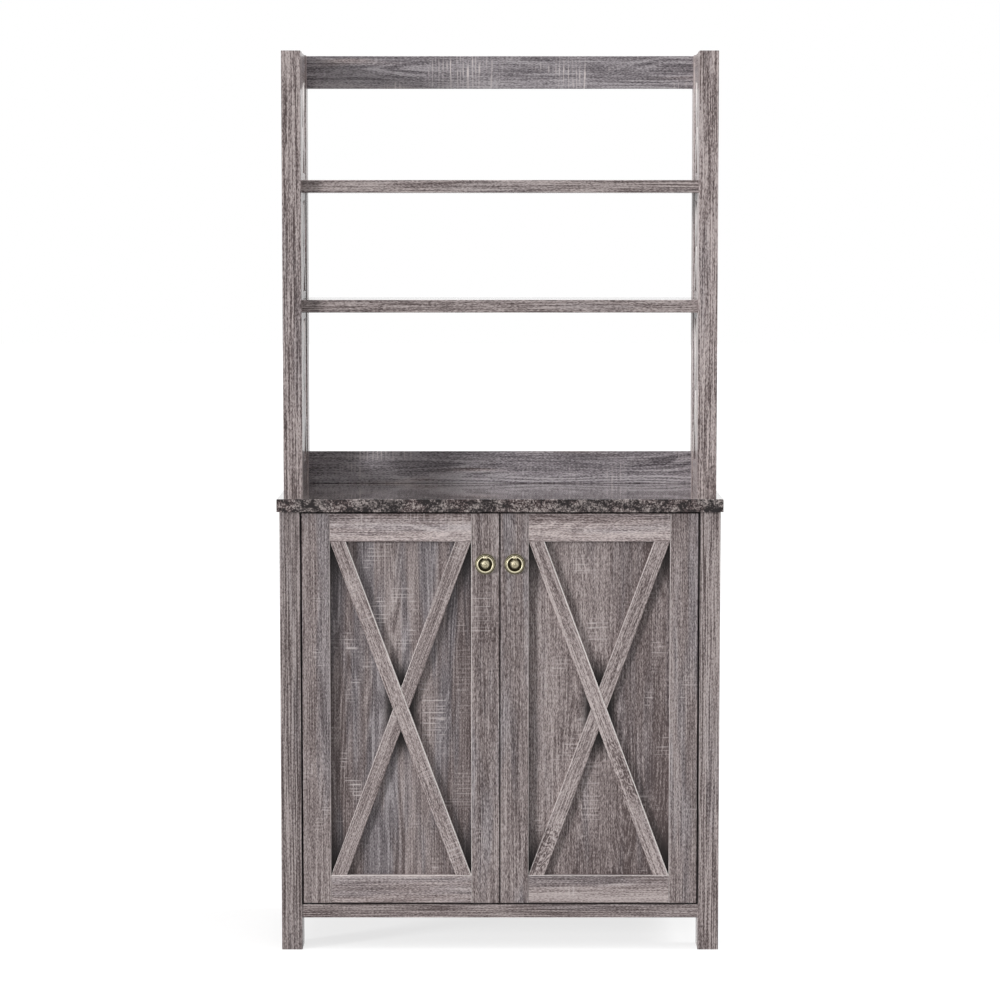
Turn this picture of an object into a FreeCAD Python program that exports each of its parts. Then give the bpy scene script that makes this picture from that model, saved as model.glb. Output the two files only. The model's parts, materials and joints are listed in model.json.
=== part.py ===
"""A bakers rack: a two-door cabinet on four legs, a countertop, and an open hutch of two shelves.

Millimetres. X is the width, -Y the front, +Z up. The origin is on the floor, under the middle of
the countertop. The countertop reaches furthest to every side, so it is also the rack's footprint.
"""

import FreeCAD
import Part
import math
import os

os.makedirs("parts", exist_ok=True)

V = FreeCAD.Vector
X_AXIS = V(1, 0, 0)
Y_AXIS = V(0, 1, 0)
Z_AXIS = V(0, 0, 1)
SIDES = (("left", -1), ("right", 1))
PARALLEL = 0.999  # least cosine between directions that count as one

# ---------------------------------------------------------------- driving dimensions

# countertop
counter_width = 900.0
counter_depth = 400.0
counter_thickness = 26.0
counter_top_height = 924.0
counter_edge_radius = 1.5
counter_front_overhang = 10.0

# legs and cabinet
cabinet_width = 890.0
leg_width = 42.0
leg_depth = 62.0
edge_chamfer = 1.0
side_panel_thickness = 15.0
side_panel_recess = 6.0
floor_clearance = 66.0
front_rail_height = 28.0
front_rail_depth = 22.0
bottom_panel_thickness = 15.0
notch_clearance = 0.3
stretcher_height = 60.0
stretcher_thickness = 18.0
front_stretcher_setback = 30.0
rear_board_recess = 5.0
back_panel_thickness = 3.0
back_panel_clearance = 0.5

# adjustable shelf and its pins
inner_shelf_thickness = 15.0
inner_shelf_pin_rise = 358.0
inner_shelf_clearance = 1.5
pin_hole_radius = 2.5
pin_hole_depth = 9.0
pin_hole_pitch = 64.0
pin_hole_rows = 3
pin_column_inset = 50.0
pin_stub_radius = 3.0
pin_stub_length = 9.0
pin_collar_radius = 4.5
pin_collar_thickness = 1.2
seat_clearance = 0.05

# doors
door_recess = 2.0
door_thickness = 18.0
door_side_gap = 2.5
door_centre_gap = 2.5
door_bottom_gap = 2.5
door_top_gap = 4.0
frame_width = 57.0
panel_thickness = 4.0
panel_recess = 12.5
panel_groove_depth = 6.0
panel_groove_clearance = 0.1
brace_width = 30.0
brace_setback = 1.5

# pivot hinges
pivot_inset = 13.0
pivot_setback = 7.0
pivot_pin_radius = 2.5
pivot_running_clearance = 0.05
pivot_pin_seat_length = 22.0
pivot_bush_radius = 4.5
pivot_bush_length = 10.0
pivot_flange_radius = 6.0
pivot_flange_thickness = 1.0
pivot_engagement = 8.0
hole_end_clearance = 0.5

# magnetic catch
strike_width = 36.0
strike_height = 14.0
strike_thickness = 1.2
strike_inset = 22.0
strike_drop = 26.0
catch_height = 16.0
catch_air_gap = 0.3
magnet_width = 20.0
magnet_height = 6.0
magnet_depth = 3.0
magnet_thickness = 2.8

# ring pulls
pull_drop = 102.5
rosette_radius = 21.0
rosette_thickness = 1.2
rosette_step_width = 1.6
bead_radius = 1.3
dish_height = 1.0
dome_radius = 10.2
dome_height = 4.9
nipple_radius = 2.6
nipple_height = 5.6
cap_stem_overlap = 0.5
ring_radius = 15.45
ring_wire_radius = 1.8
ring_standoff = 7.5
ring_pin_radius = 1.5
ring_pin_half_length = 5.8
post_half_width = 4.8
post_lobe_radius = 3.9
post_groove_radius = 3.1
post_groove_half_width = 0.5
post_neck_radius = 2.3
screw_radius = 2.0
screw_clearance = 0.2
screw_head_radius = 4.2
screw_head_height = 2.4
screw_head_chamfer = 0.8
screw_engagement = 3.4

# hutch
hutch_width = 892.0
hutch_setback = 145.0
post_width = 39.0
post_depth = 62.0
overall_height = 1827.0
shelf_thickness = 26.0
upper_shelf_drop = 262.0
shelf_spacing = 245.5
shelf_front_setback = 25.0
side_rail_height = 58.0
side_rail_recess = 1.5
back_rail_height = 68.0
back_rail_thickness = 18.0
side_brace_thickness = 24.0

# cams and bolts that hold the hutch's shelves
cam_radius = 7.5
cam_length = 18.0
cam_inset = 34.0
cam_mouth_radius = 3.6
cam_slot_length = 9.0
cam_slot_width = 1.6
cam_slot_depth = 2.0
cam_bolt_radius = 3.0
cam_bolt_depth = 10.0
cam_bolt_neck_radius = 1.8
cam_bolt_neck_length = 5.0
cam_bolt_head_length = 3.0
cam_bolt_setback = 20.0

# dowels between the countertop and the legs and posts
dowel_radius = 4.0
dowel_length = 24.0
dowel_chamfer = 1.0
dowel_offset = 12.0

# ---------------------------------------------------------------- places worked out from them

counter_underside = counter_top_height - counter_thickness
front_edge = -counter_depth / 2
rear_face = counter_depth / 2
leg_front = front_edge + counter_front_overhang
front_leg_back = leg_front + leg_depth
rear_leg_front = rear_face - leg_depth
rear_board_back = rear_face - rear_board_recess

cabinet_half = cabinet_width / 2
leg_inner = cabinet_half - leg_width
side_panel_inner = cabinet_half - side_panel_recess - side_panel_thickness

door_front = leg_front + door_recess
door_back = door_front + door_thickness
front_rail_top = floor_clearance + front_rail_height
door_bottom = front_rail_top + door_bottom_gap
door_top = counter_underside - door_top_gap
door_hinge_edge = leg_inner - door_side_gap
door_latch_edge = door_centre_gap / 2
opening_bottom = door_bottom + frame_width
opening_top = door_top - frame_width
panel_front = door_front + panel_recess
panel_back = panel_front + panel_thickness
stretcher_bottom = counter_underside - stretcher_height
front_stretcher_front = leg_front + front_stretcher_setback
inner_shelf_pin_height = front_rail_top + inner_shelf_pin_rise

pivot_x = door_hinge_edge - pivot_inset
pivot_y = door_front + pivot_setback
pull_x = door_latch_edge + frame_width / 2
pull_height = door_top - pull_drop
ring_top_offset = math.sqrt(ring_radius ** 2 - ring_pin_half_length ** 2)
ring_axis_height = pull_height + ring_top_offset
ring_axis_y = door_front - ring_standoff

hutch_half = hutch_width / 2
post_inner = hutch_half - post_width
hutch_front = leg_front + hutch_setback
front_post_back = hutch_front + post_depth
rear_post_front = rear_face - post_depth
side_rail_outer = hutch_half - side_rail_recess
side_rail_inner = post_inner + side_rail_recess
upper_shelf_top = overall_height - upper_shelf_drop
lower_shelf_top = upper_shelf_top - shelf_spacing
shelf_centres = [lower_shelf_top - shelf_thickness / 2, upper_shelf_top - shelf_thickness / 2]
shelf_front = hutch_front + shelf_front_setback
leg_depths = (("front", (leg_front, front_leg_back)), ("rear", (rear_leg_front, rear_face)))
post_depths = (("front", (hutch_front, front_post_back)), ("rear", (rear_post_front, rear_face)))


# ---------------------------------------------------------------- small tools


def block(x_range, y_range, z_range):
    """A rectangular board between two places along each axis, given in either order."""
    low = V(min(x_range), min(y_range), min(z_range))
    high = V(max(x_range), max(y_range), max(z_range))
    size = high - low
    return Part.makeBox(size.x, size.y, size.z, low)


def mirrored_block(side, x_range, y_range, z_range):
    """A board on one side of the rack, its X range given for the right side."""
    return block([side * x for x in x_range], y_range, z_range)


def eased(shape, direction, size=edge_chamfer, keep=None):
    """The board with a small chamfer along its edges that run in one direction."""
    edges = []
    for edge in shape.Edges:
        if not isinstance(edge.Curve, Part.Line):
            continue
        along = edge.tangentAt(edge.FirstParameter)
        if abs(along.dot(direction)) < PARALLEL:
            continue
        if keep is None or keep(edge.CenterOfMass):
            edges.append(edge)
    return shape.makeChamfer(size, edges)


def rod(radius, start, direction, length):
    """A round rod from a point along a direction."""
    return Part.makeCylinder(radius, length, start, direction)


def revolved(edges, centre, axis):
    """A solid of revolution from a closed outline."""
    return Part.Face(Part.Wire(edges)).revolve(centre, axis, 360)


def polyline(points):
    """Straight edges through the points, in order."""
    return [Part.makeLine(a, b) for a, b in zip(points, points[1:])]


def arc(start, middle, end):
    """A round edge through three points."""
    return Part.Arc(start, middle, end).toShape()


def export(node, *solids):
    """Write one node, as a solid or as a group of like solids."""
    shape = solids[0] if len(solids) == 1 else Part.makeCompound(list(solids))
    shape.exportStep("parts/%s.step" % node)


# ---------------------------------------------------------------- X braces


def brace_angle(width, height, arm):
    """The lean from upright of an arm whose outer edges run into the corners of its opening."""
    return math.acos(arm / math.hypot(width, height)) - math.atan2(height, width)


def cross_braces(width, height, arm):
    """Outlines in an opening from (0, 0) to (width, height): a through arm from the upper left
    to the lower right corner, and the arm that crosses it."""
    across = arm / math.cos(brace_angle(width, height, arm))
    through = [(0, height), (across, height), (width, 0), (width - across, 0)]
    crossing = [(width - across, height), (width, height), (across, 0), (0, 0)]
    return through, crossing


def brace_solids(corner, u_axis, size, arm, thickness_vector):
    """The through arm and the two short arms butted to it, in a frame that starts at corner,
    runs along u_axis and up, and gives the arms their thickness. The long edges of the face at
    the corner's plane are eased."""
    width, height = size
    outlines = cross_braces(width, height, arm)
    arms = []
    for outline in outlines:
        points = [corner + u_axis * u + Z_AXIS * v for u, v in outline]
        face = Part.Face(Part.makePolygon(points + points[:1]))
        arms.append(face.extrude(thickness_vector))
    through, crossing = arms
    lean = brace_angle(width, height, arm)
    down_right = u_axis * math.sin(lean) - Z_AXIS * math.cos(lean)
    down_left = u_axis * -math.sin(lean) - Z_AXIS * math.cos(lean)
    normal = V(thickness_vector).normalize()

    def at_face(point):
        return abs((point - corner).dot(normal)) < edge_chamfer / 2

    halves = crossing.cut(through).Solids
    through = eased(through, down_right, keep=at_face)
    halves = [eased(half, down_left, keep=at_face) for half in halves]
    return through, halves


# ---------------------------------------------------------------- dowels


def leg_dowel(side, y_range):
    """The middle of a leg's dowel, in the joint under the countertop."""
    x = (leg_inner + cabinet_half) / 2
    return V(side * x, sum(y_range) / 2 - dowel_offset, counter_underside)


def post_dowel(side, y_range):
    """The middle of a post's dowel, in the joint on the countertop."""
    x = (post_inner + hutch_half) / 2
    return V(side * x, sum(y_range) / 2 + dowel_offset, counter_top_height)


def dowel_middles():
    """The middles of all the dowels."""
    middles = []
    for _, side in SIDES:
        middles += [leg_dowel(side, y_range) for _, y_range in leg_depths]
        middles += [post_dowel(side, y_range) for _, y_range in post_depths]
    return middles


def dowel_hole(middle):
    """The blind holes that take one dowel, on both sides of its joint."""
    reach = dowel_length / 2 + hole_end_clearance
    return rod(dowel_radius + seat_clearance, middle - Z_AXIS * reach, Z_AXIS, 2 * reach)


def make_dowels():
    dowels = []
    for middle in dowel_middles():
        dowel = rod(dowel_radius, middle - Z_AXIS * (dowel_length / 2), Z_AXIS, dowel_length)
        ends = [edge for edge in dowel.Edges if isinstance(edge.Curve, Part.Circle)]
        dowels.append(dowel.makeChamfer(dowel_chamfer, ends))
    export("countertop_dowels", *dowels)


# ---------------------------------------------------------------- cabinet


def make_legs():
    for name, side in SIDES:
        for place, y_range in leg_depths:
            leg = mirrored_block(side, (leg_inner, cabinet_half), y_range, (0, counter_underside))
            leg = eased(leg, Z_AXIS).cut(dowel_hole(leg_dowel(side, y_range)))
            export("%s_%s_leg" % (name, place), leg)


def pin_places():
    """The four shelf pins: both columns on both sides, at the height in use."""
    columns = (front_leg_back + pin_column_inset, rear_leg_front - pin_column_inset)
    return [(side, y) for _, side in SIDES for y in columns]


def make_side_panels():
    for name, side in SIDES:
        panel = mirrored_block(side, (side_panel_inner, side_panel_inner + side_panel_thickness),
                               (front_leg_back, rear_leg_front), (floor_clearance, counter_underside))
        for hole_side, y in pin_places():
            if hole_side != side:
                continue
            for row in range(pin_hole_rows):
                z = inner_shelf_pin_height + (row - (pin_hole_rows - 1) / 2) * pin_hole_pitch
                mouth = V(side * side_panel_inner, y, z)
                panel = panel.cut(rod(pin_hole_radius, mouth, X_AXIS * side, pin_hole_depth))
        export("%s_side_panel" % name, panel)


def make_cabinet_boards():
    rail_back = door_front + front_rail_depth
    rail = block((-leg_inner, leg_inner), (door_front, rail_back), (floor_clearance, front_rail_top))
    for _, side in SIDES:
        rail = rail.cut(bush_hole(side, front_rail_top, -Z_AXIS))
    export("bottom_front_rail", rail)

    panel = block((-side_panel_inner, side_panel_inner), (rail_back, rear_board_back),
                  (front_rail_top - bottom_panel_thickness, front_rail_top))
    for _, side in SIDES:
        for y_range in ((leg_front, front_leg_back + notch_clearance),
                        (rear_leg_front - notch_clearance, rear_face)):
            notch = mirrored_block(side, (leg_inner - notch_clearance, cabinet_half), y_range,
                                   (floor_clearance, front_rail_top))
            panel = panel.cut(notch)
    export("bottom_panel", panel)

    between_legs = (-leg_inner, leg_inner)
    height = (stretcher_bottom, counter_underside)
    front_range = (front_stretcher_front, front_stretcher_front + stretcher_thickness)
    export("top_front_stretcher", block(between_legs, front_range, height))
    rear_range = (rear_board_back - stretcher_thickness, rear_board_back)
    export("top_rear_stretcher", block(between_legs, rear_range, height))

    back_half = leg_inner - back_panel_clearance
    back = block((-back_half, back_half), (rear_board_back, rear_board_back + back_panel_thickness),
                 (floor_clearance, counter_underside))
    export("cabinet_back_panel", back)


def make_inner_shelf():
    half = side_panel_inner - inner_shelf_clearance
    bottom = inner_shelf_pin_height + pin_stub_radius
    y_range = (front_leg_back + inner_shelf_clearance, rear_leg_front - inner_shelf_clearance)
    shelf = block((-half, half), y_range, (bottom, bottom + inner_shelf_thickness))
    export("adjustable_shelf", eased(shelf, X_AXIS))

    pins = []
    for side, y in pin_places():
        outward = X_AXIS * side
        mouth = V(side * side_panel_inner, y, inner_shelf_pin_height)
        stem = rod(pin_hole_radius - seat_clearance, mouth, outward, pin_hole_depth - hole_end_clearance)
        collar = rod(pin_collar_radius, mouth, -outward, pin_collar_thickness)
        stub = rod(pin_stub_radius, mouth, -outward, pin_stub_length)
        trim_x = (side_panel_inner - pin_stub_length, side_panel_inner)
        above_stub = mirrored_block(side, trim_x,
                                    (y - pin_collar_radius, y + pin_collar_radius),
                                    (inner_shelf_pin_height + pin_stub_radius,
                                     inner_shelf_pin_height + pin_collar_radius))
        pins.append(stem.fuse([collar, stub]).cut(above_stub).removeSplitter())
    export("shelf_pins", *pins)


def make_countertop():
    top = block((-counter_width / 2, counter_width / 2), (front_edge, rear_face),
                (counter_underside, counter_top_height))
    eased_edges = [edge for edge in top.Edges if edge.CenterOfMass.z > counter_underside]
    top = top.makeFillet(counter_edge_radius, eased_edges)
    for _, side in SIDES:
        top = top.cut(bush_hole(side, counter_underside, Z_AXIS))
    top = top.cut([dowel_hole(middle) for middle in dowel_middles()])
    export("countertop", top)


def make_catch():
    depth = front_stretcher_front - door_back - strike_thickness - catch_air_gap
    half = door_latch_edge + strike_inset + strike_width / 2
    centre = door_top - strike_drop
    magnets = []
    body = block((-half, half), (front_stretcher_front - depth, front_stretcher_front),
                 (centre - catch_height / 2, centre + catch_height / 2))
    body = eased(body, X_AXIS, keep=lambda point: point.y < front_stretcher_front - depth / 2)
    for _, side in SIDES:
        x = side * (door_latch_edge + strike_inset)
        pocket = block((x - magnet_width / 2, x + magnet_width / 2),
                       (front_stretcher_front - depth, front_stretcher_front - depth + magnet_depth),
                       (centre - magnet_height / 2, centre + magnet_height / 2))
        body = body.cut(pocket)
        magnet_half = magnet_width / 2 - seat_clearance
        magnet_rise = magnet_height / 2 - seat_clearance
        magnet_back = front_stretcher_front - depth + magnet_depth
        magnets.append(block((x - magnet_half, x + magnet_half),
                             (magnet_back - magnet_thickness, magnet_back),
                             (centre - magnet_rise, centre + magnet_rise)))
    export("magnetic_catch", body)
    export("catch_magnets", *magnets)


# ---------------------------------------------------------------- pivot hinges


def bush_hole(side, mouth_height, inward):
    """The blind hole that takes a pivot bush."""
    mouth = V(side * pivot_x, pivot_y, mouth_height)
    radius = pivot_bush_radius + seat_clearance
    return rod(radius, mouth, inward, pivot_bush_length + hole_end_clearance)


def pivot_bush(side, mouth_height, inward):
    """A flanged bush, its flange lying on the face round the hole."""
    mouth = V(side * pivot_x, pivot_y, mouth_height)
    barrel = rod(pivot_bush_radius, mouth, inward, pivot_bush_length)
    flange = rod(pivot_flange_radius, mouth, -inward, pivot_flange_thickness)
    start = mouth - inward * pivot_flange_thickness
    bore = rod(pivot_pin_radius + pivot_running_clearance, start, inward,
               pivot_flange_thickness + pivot_bush_length)
    return barrel.fuse(flange).cut(bore).removeSplitter()


def pivot_pin(side, door_face, outward, gap):
    """A pin that is seated in the end of the hinge stile and stands out into its bush."""
    seat = V(side * pivot_x, pivot_y, door_face) - outward * pivot_pin_seat_length
    return rod(pivot_pin_radius, seat, outward, pivot_pin_seat_length + gap + pivot_engagement)


def make_bushes():
    bushes = []
    for _, side in SIDES:
        bushes.append(pivot_bush(side, front_rail_top, -Z_AXIS))
        bushes.append(pivot_bush(side, counter_underside, Z_AXIS))
    export("pivot_bushes", *bushes)


def make_pivot_pins(name, side):
    lower = pivot_pin(side, door_bottom, -Z_AXIS, door_bottom_gap)
    collar_thickness = door_bottom_gap - pivot_flange_thickness - pivot_running_clearance
    collar = rod(pivot_bush_radius, V(side * pivot_x, pivot_y, door_bottom), -Z_AXIS, collar_thickness)
    upper = pivot_pin(side, door_top, Z_AXIS, door_top_gap)
    export("%s_door_pivot_pins" % name, lower.fuse(collar).removeSplitter(), upper)


# ---------------------------------------------------------------- doors


def panel_groove(x_range, z_range):
    """The groove that holds the panel's edge."""
    return block(x_range, (panel_front - panel_groove_clearance, panel_back + panel_groove_clearance),
                 z_range)


def make_door_stiles(name, side):
    z_range = (door_bottom, door_top)
    y_range = (door_front, door_back)

    def front_edges(point):
        return point.y < panel_front

    outer = door_hinge_edge - frame_width
    hinge = mirrored_block(side, (outer, door_hinge_edge), y_range, z_range)
    hinge = eased(hinge, Z_AXIS, keep=front_edges)
    hinge = hinge.cut(panel_groove((side * outer, side * (outer + panel_groove_depth)), z_range))
    for face, outward in ((door_bottom, -Z_AXIS), (door_top, Z_AXIS)):
        mouth = V(side * pivot_x, pivot_y, face)
        hole = rod(pivot_pin_radius + seat_clearance, mouth, -outward,
                   pivot_pin_seat_length + hole_end_clearance)
        hinge = hinge.cut(hole)
    export("%s_door_hinge_stile" % name, hinge)

    inner = door_latch_edge + frame_width
    latch = mirrored_block(side, (door_latch_edge, inner), y_range, z_range)
    latch = eased(latch, Z_AXIS, keep=front_edges)
    latch = latch.cut(panel_groove((side * (inner - panel_groove_depth), side * inner), z_range))
    screw_hole = rod(screw_radius + screw_clearance, V(side * pull_x, door_front, pull_height),
                     Y_AXIS, door_thickness)
    export("%s_door_latch_stile" % name, latch.cut(screw_hole))


def make_door_rails(name, side):
    inner = door_latch_edge + frame_width
    outer = door_hinge_edge - frame_width
    tenon = panel_groove_depth - panel_groove_clearance
    for place, low, high, groove in (
        ("top", opening_top, door_top, (opening_top, opening_top + panel_groove_depth)),
        ("bottom", door_bottom, opening_bottom, (opening_bottom - panel_groove_depth, opening_bottom)),
    ):
        rail = mirrored_block(side, (inner, outer), (door_front, door_back), (low, high))
        rail = eased(rail, X_AXIS, keep=lambda point: point.y < panel_front)
        tenon_z = (groove[1], high) if place == "top" else (low, groove[0])
        tongue = mirrored_block(side, (inner - tenon, outer + tenon), (panel_front, panel_back), tenon_z)
        rail = rail.fuse(tongue)
        rail = rail.cut(panel_groove((side * inner, side * outer), groove))
        export("%s_door_%s_rail" % (name, place), rail.removeSplitter())


def make_door_panel(name, side):
    reach = panel_groove_depth - hole_end_clearance
    inner = door_latch_edge + frame_width - reach
    outer = door_hinge_edge - frame_width + reach
    panel = mirrored_block(side, (inner, outer), (panel_front, panel_back),
                           (opening_bottom - reach, opening_top + reach))
    export("%s_door_panel" % name, panel)


def make_door_braces(name, side):
    edges = (side * (door_latch_edge + frame_width), side * (door_hinge_edge - frame_width))
    size = (max(edges) - min(edges), opening_top - opening_bottom)
    corner = V(min(edges), door_front + brace_setback, opening_bottom)
    depth = Y_AXIS * (panel_recess - brace_setback)
    through, halves = brace_solids(corner, X_AXIS, size, brace_width, depth)
    export("%s_door_long_brace" % name, through)
    export("%s_door_short_braces" % name, *halves)


def make_strike(name, side):
    x = side * (door_latch_edge + strike_inset)
    z = door_top - strike_drop
    plate = block((x - strike_width / 2, x + strike_width / 2), (door_back, door_back + strike_thickness),
                  (z - strike_height / 2, z + strike_height / 2))
    export("%s_strike_plate" % name, plate)


# ---------------------------------------------------------------- ring pulls


def rosette_outline(centre):
    """The turned disc's profile: a flat back, a step at the rim, a round bead and a dished middle."""
    def at(radius, height):
        return centre + X_AXIS * radius - Y_AXIS * height

    step_in = rosette_radius - rosette_step_width
    bead_in = step_in - 2 * bead_radius
    bead_crest = at(step_in - bead_radius, rosette_thickness + bead_radius)
    edges = polyline([at(0, dish_height), at(0, 0), at(rosette_radius, 0),
                      at(rosette_radius, rosette_thickness), at(step_in, rosette_thickness)])
    edges.append(arc(at(step_in, rosette_thickness), bead_crest, at(bead_in, rosette_thickness)))
    edges += polyline([at(bead_in, rosette_thickness), at(bead_in, dish_height), at(0, dish_height)])
    return edges


def dome(centre, radius, base, crest):
    """A round cap on the rosette's axis, standing on a stem that reaches into the disc."""
    rise = crest - base
    ball_radius = (radius ** 2 + rise ** 2) / (2 * rise)
    ball = Part.makeSphere(ball_radius, centre - Y_AXIS * (crest - ball_radius), -Y_AXIS)
    stem_start = base - cap_stem_overlap
    stem = rod(radius, centre - Y_AXIS * stem_start, -Y_AXIS, crest - stem_start)
    return ball.common(stem)


def post_outline(centre):
    """The post's barrel about the ring's axis: two rounded lobes with a groove between them."""
    def at(x, radius):
        return centre + X_AXIS * x + Z_AXIS * radius

    bore = ring_pin_radius + pivot_running_clearance
    lobe_mid = (post_half_width + post_groove_half_width) / 2
    edge_radius = post_groove_radius - post_groove_half_width
    left_lobe = arc(at(-post_half_width, edge_radius), at(-lobe_mid, post_lobe_radius),
                    at(-post_groove_half_width, post_groove_radius))
    right_lobe = arc(at(post_groove_half_width, post_groove_radius), at(lobe_mid, post_lobe_radius),
                     at(post_half_width, edge_radius))
    return (polyline([at(post_half_width, bore), at(-post_half_width, bore),
                      at(-post_half_width, edge_radius)])
            + [left_lobe]
            + polyline([at(-post_groove_half_width, post_groove_radius),
                        at(post_groove_half_width, post_groove_radius)])
            + [right_lobe]
            + polyline([at(post_half_width, edge_radius), at(post_half_width, bore)]))


def make_pull(name, side):
    centre = V(side * pull_x, door_front, pull_height)
    disc = revolved(rosette_outline(centre), centre, Y_AXIS)
    boss = dome(centre, dome_radius, dish_height, dome_height)
    nipple = dome(centre, nipple_radius, dome_height, nipple_height)
    axis_point = V(side * pull_x, ring_axis_y, ring_axis_height)
    barrel = revolved(post_outline(axis_point), axis_point, X_AXIS)
    foot = V(side * pull_x, door_front, ring_axis_height)
    neck = rod(post_neck_radius, foot, -Y_AXIS, ring_standoff)
    bore = rod(ring_pin_radius + pivot_running_clearance, axis_point - X_AXIS * post_half_width,
               X_AXIS, 2 * post_half_width)
    thread = rod(screw_radius + seat_clearance, centre, -Y_AXIS, screw_engagement + hole_end_clearance)
    rosette = disc.fuse([boss, nipple, neck.cut(bore), barrel]).cut(thread)
    export("%s_pull_rosette" % name, rosette.removeSplitter())

    head_seat = V(side * pull_x, door_back, pull_height)
    shank = rod(screw_radius, head_seat, -Y_AXIS, door_thickness + screw_engagement)
    head = rod(screw_head_radius, head_seat, Y_AXIS, screw_head_height)
    rim = [edge for edge in head.Edges if edge.CenterOfMass.y > door_back + screw_head_height / 2]
    head = head.makeChamfer(screw_head_chamfer, rim)
    export("%s_pull_screw" % name, shank.fuse(head).removeSplitter())


def make_ring(name, side):
    """A round bail whose straight top runs through the post."""
    axis_point = V(side * pull_x, ring_axis_y, ring_axis_height)
    middle = V(side * pull_x, ring_axis_y, pull_height)
    start = X_AXIS * ring_pin_half_length + Z_AXIS * ring_top_offset
    half_gap = math.degrees(math.asin(ring_pin_half_length / ring_radius))
    tangent = V(ring_top_offset, 0, -ring_pin_half_length).normalize()
    section = Part.Face(Part.Wire(Part.makeCircle(ring_wire_radius, middle + start, tangent)))
    bow = section.revolve(middle, Y_AXIS, 360 - 2 * half_gap)
    pin = rod(ring_pin_radius, axis_point - X_AXIS * ring_pin_half_length, X_AXIS,
              2 * ring_pin_half_length)
    export("%s_pull_ring" % name, bow.fuse(pin).removeSplitter())


# ---------------------------------------------------------------- shelf fixings


def bolt_mouths(side):
    """Where the bolts of one side leave the posts, at the front and rear of both shelves."""
    depths = (shelf_front + cam_bolt_setback, rear_board_back - cam_bolt_setback)
    return [V(side * post_inner, y, z) for y in depths for z in shelf_centres]


def make_shelf_fixings():
    """Cams let into the shelves' undersides, and the bolts in the posts that they draw tight."""
    cams = []
    bolts = []
    for _, side in SIDES:
        inward = X_AXIS * -side
        for mouth in bolt_mouths(side):
            middle = mouth + inward * cam_inset
            foot = middle - Z_AXIS * (shelf_thickness / 2)
            cam = rod(cam_radius, foot, Z_AXIS, cam_length)
            way_in = rod(cam_mouth_radius, middle + inward * cam_bolt_head_length, -inward,
                         cam_radius + cam_bolt_head_length)
            slot_reach, slot_half = cam_slot_length / 2, cam_slot_width / 2
            for x_half, y_half in ((slot_reach, slot_half), (slot_half, slot_reach)):
                way_in = way_in.fuse(block((foot.x - x_half, foot.x + x_half),
                                           (foot.y - y_half, foot.y + y_half),
                                           (foot.z, foot.z + cam_slot_depth)))
            cams.append(cam.cut(way_in))
            neck_start = cam_inset - cam_bolt_neck_length - cam_bolt_head_length / 2
            shank = rod(cam_bolt_radius, mouth - inward * cam_bolt_depth, inward, cam_bolt_depth + neck_start)
            neck = rod(cam_bolt_neck_radius, mouth + inward * neck_start, inward, cam_bolt_neck_length)
            head = rod(cam_bolt_radius, mouth + inward * (neck_start + cam_bolt_neck_length), inward,
                       cam_bolt_head_length)
            bolts.append(shank.fuse([neck, head]))
    export("shelf_cams", *cams)
    export("shelf_bolts", *bolts)


# ---------------------------------------------------------------- hutch


def make_posts():
    for name, side in SIDES:
        for place, y_range in post_depths:
            post = mirrored_block(side, (post_inner, hutch_half), y_range,
                                  (counter_top_height, overall_height))
            post = eased(post, Z_AXIS).cut(dowel_hole(post_dowel(side, y_range)))
            for mouth in bolt_mouths(side):
                if min(y_range) < mouth.y < max(y_range):
                    post = post.cut(rod(cam_bolt_radius + seat_clearance, mouth, X_AXIS * side,
                                        cam_bolt_depth + hole_end_clearance))
            export("%s_%s_post" % (name, place), post)


def side_rail_ranges():
    """Heights of the short side rails: at the foot, centred on both shelves, and at the top."""
    half = side_rail_height / 2
    ranges = [(counter_top_height, counter_top_height + side_rail_height)]
    ranges += [(centre - half, centre + half) for centre in shelf_centres]
    ranges.append((overall_height - side_rail_height, overall_height))
    return ranges


def make_hutch_sides():
    ranges = side_rail_ranges()
    bays = [(low[1], high[0]) for low, high in zip(ranges, ranges[1:])]
    depth = rear_post_front - front_post_back
    for name, side in SIDES:
        rails = []
        for z_range in ranges:
            rail = mirrored_block(side, (side_rail_inner, side_rail_outer),
                                  (front_post_back, rear_post_front), z_range)
            rails.append(eased(rail, Y_AXIS))
        export("%s_hutch_side_rails" % name, *rails)
        for place, (low, high) in zip(("lower", "middle", "upper"), bays):
            corner = V(side * side_rail_inner, front_post_back, low)
            arm_depth = X_AXIS * side * side_brace_thickness
            through, halves = brace_solids(corner, Y_AXIS, (depth, high - low), brace_width, arm_depth)
            export("%s_%s_cross_braces" % (name, place), through, *halves)


def make_shelves():
    for name, top in (("lower", lower_shelf_top), ("upper", upper_shelf_top)):
        underside = top - shelf_thickness
        shelf = block((-post_inner, post_inner), (shelf_front, rear_board_back), (underside, top))
        shelf = eased(shelf, X_AXIS)
        for _, side in SIDES:
            inward = X_AXIS * -side
            for mouth in bolt_mouths(side):
                if not underside < mouth.z < top:
                    continue
                foot = V(mouth.x, mouth.y, underside) + inward * cam_inset
                pocket = rod(cam_radius + seat_clearance, foot, Z_AXIS, cam_length + hole_end_clearance)
                shelf = shelf.cut([pocket, rod(cam_mouth_radius, mouth, inward, cam_inset)])
        export("%s_shelf" % name, shelf)


def make_back_rails():
    y_range = (rear_board_back - back_rail_thickness, rear_board_back)
    for name, low in (("top_back_rail", overall_height - back_rail_height),
                      ("backsplash", counter_top_height)):
        rail = block((-post_inner, post_inner), y_range, (low, low + back_rail_height))
        export(name, eased(rail, X_AXIS))


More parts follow.
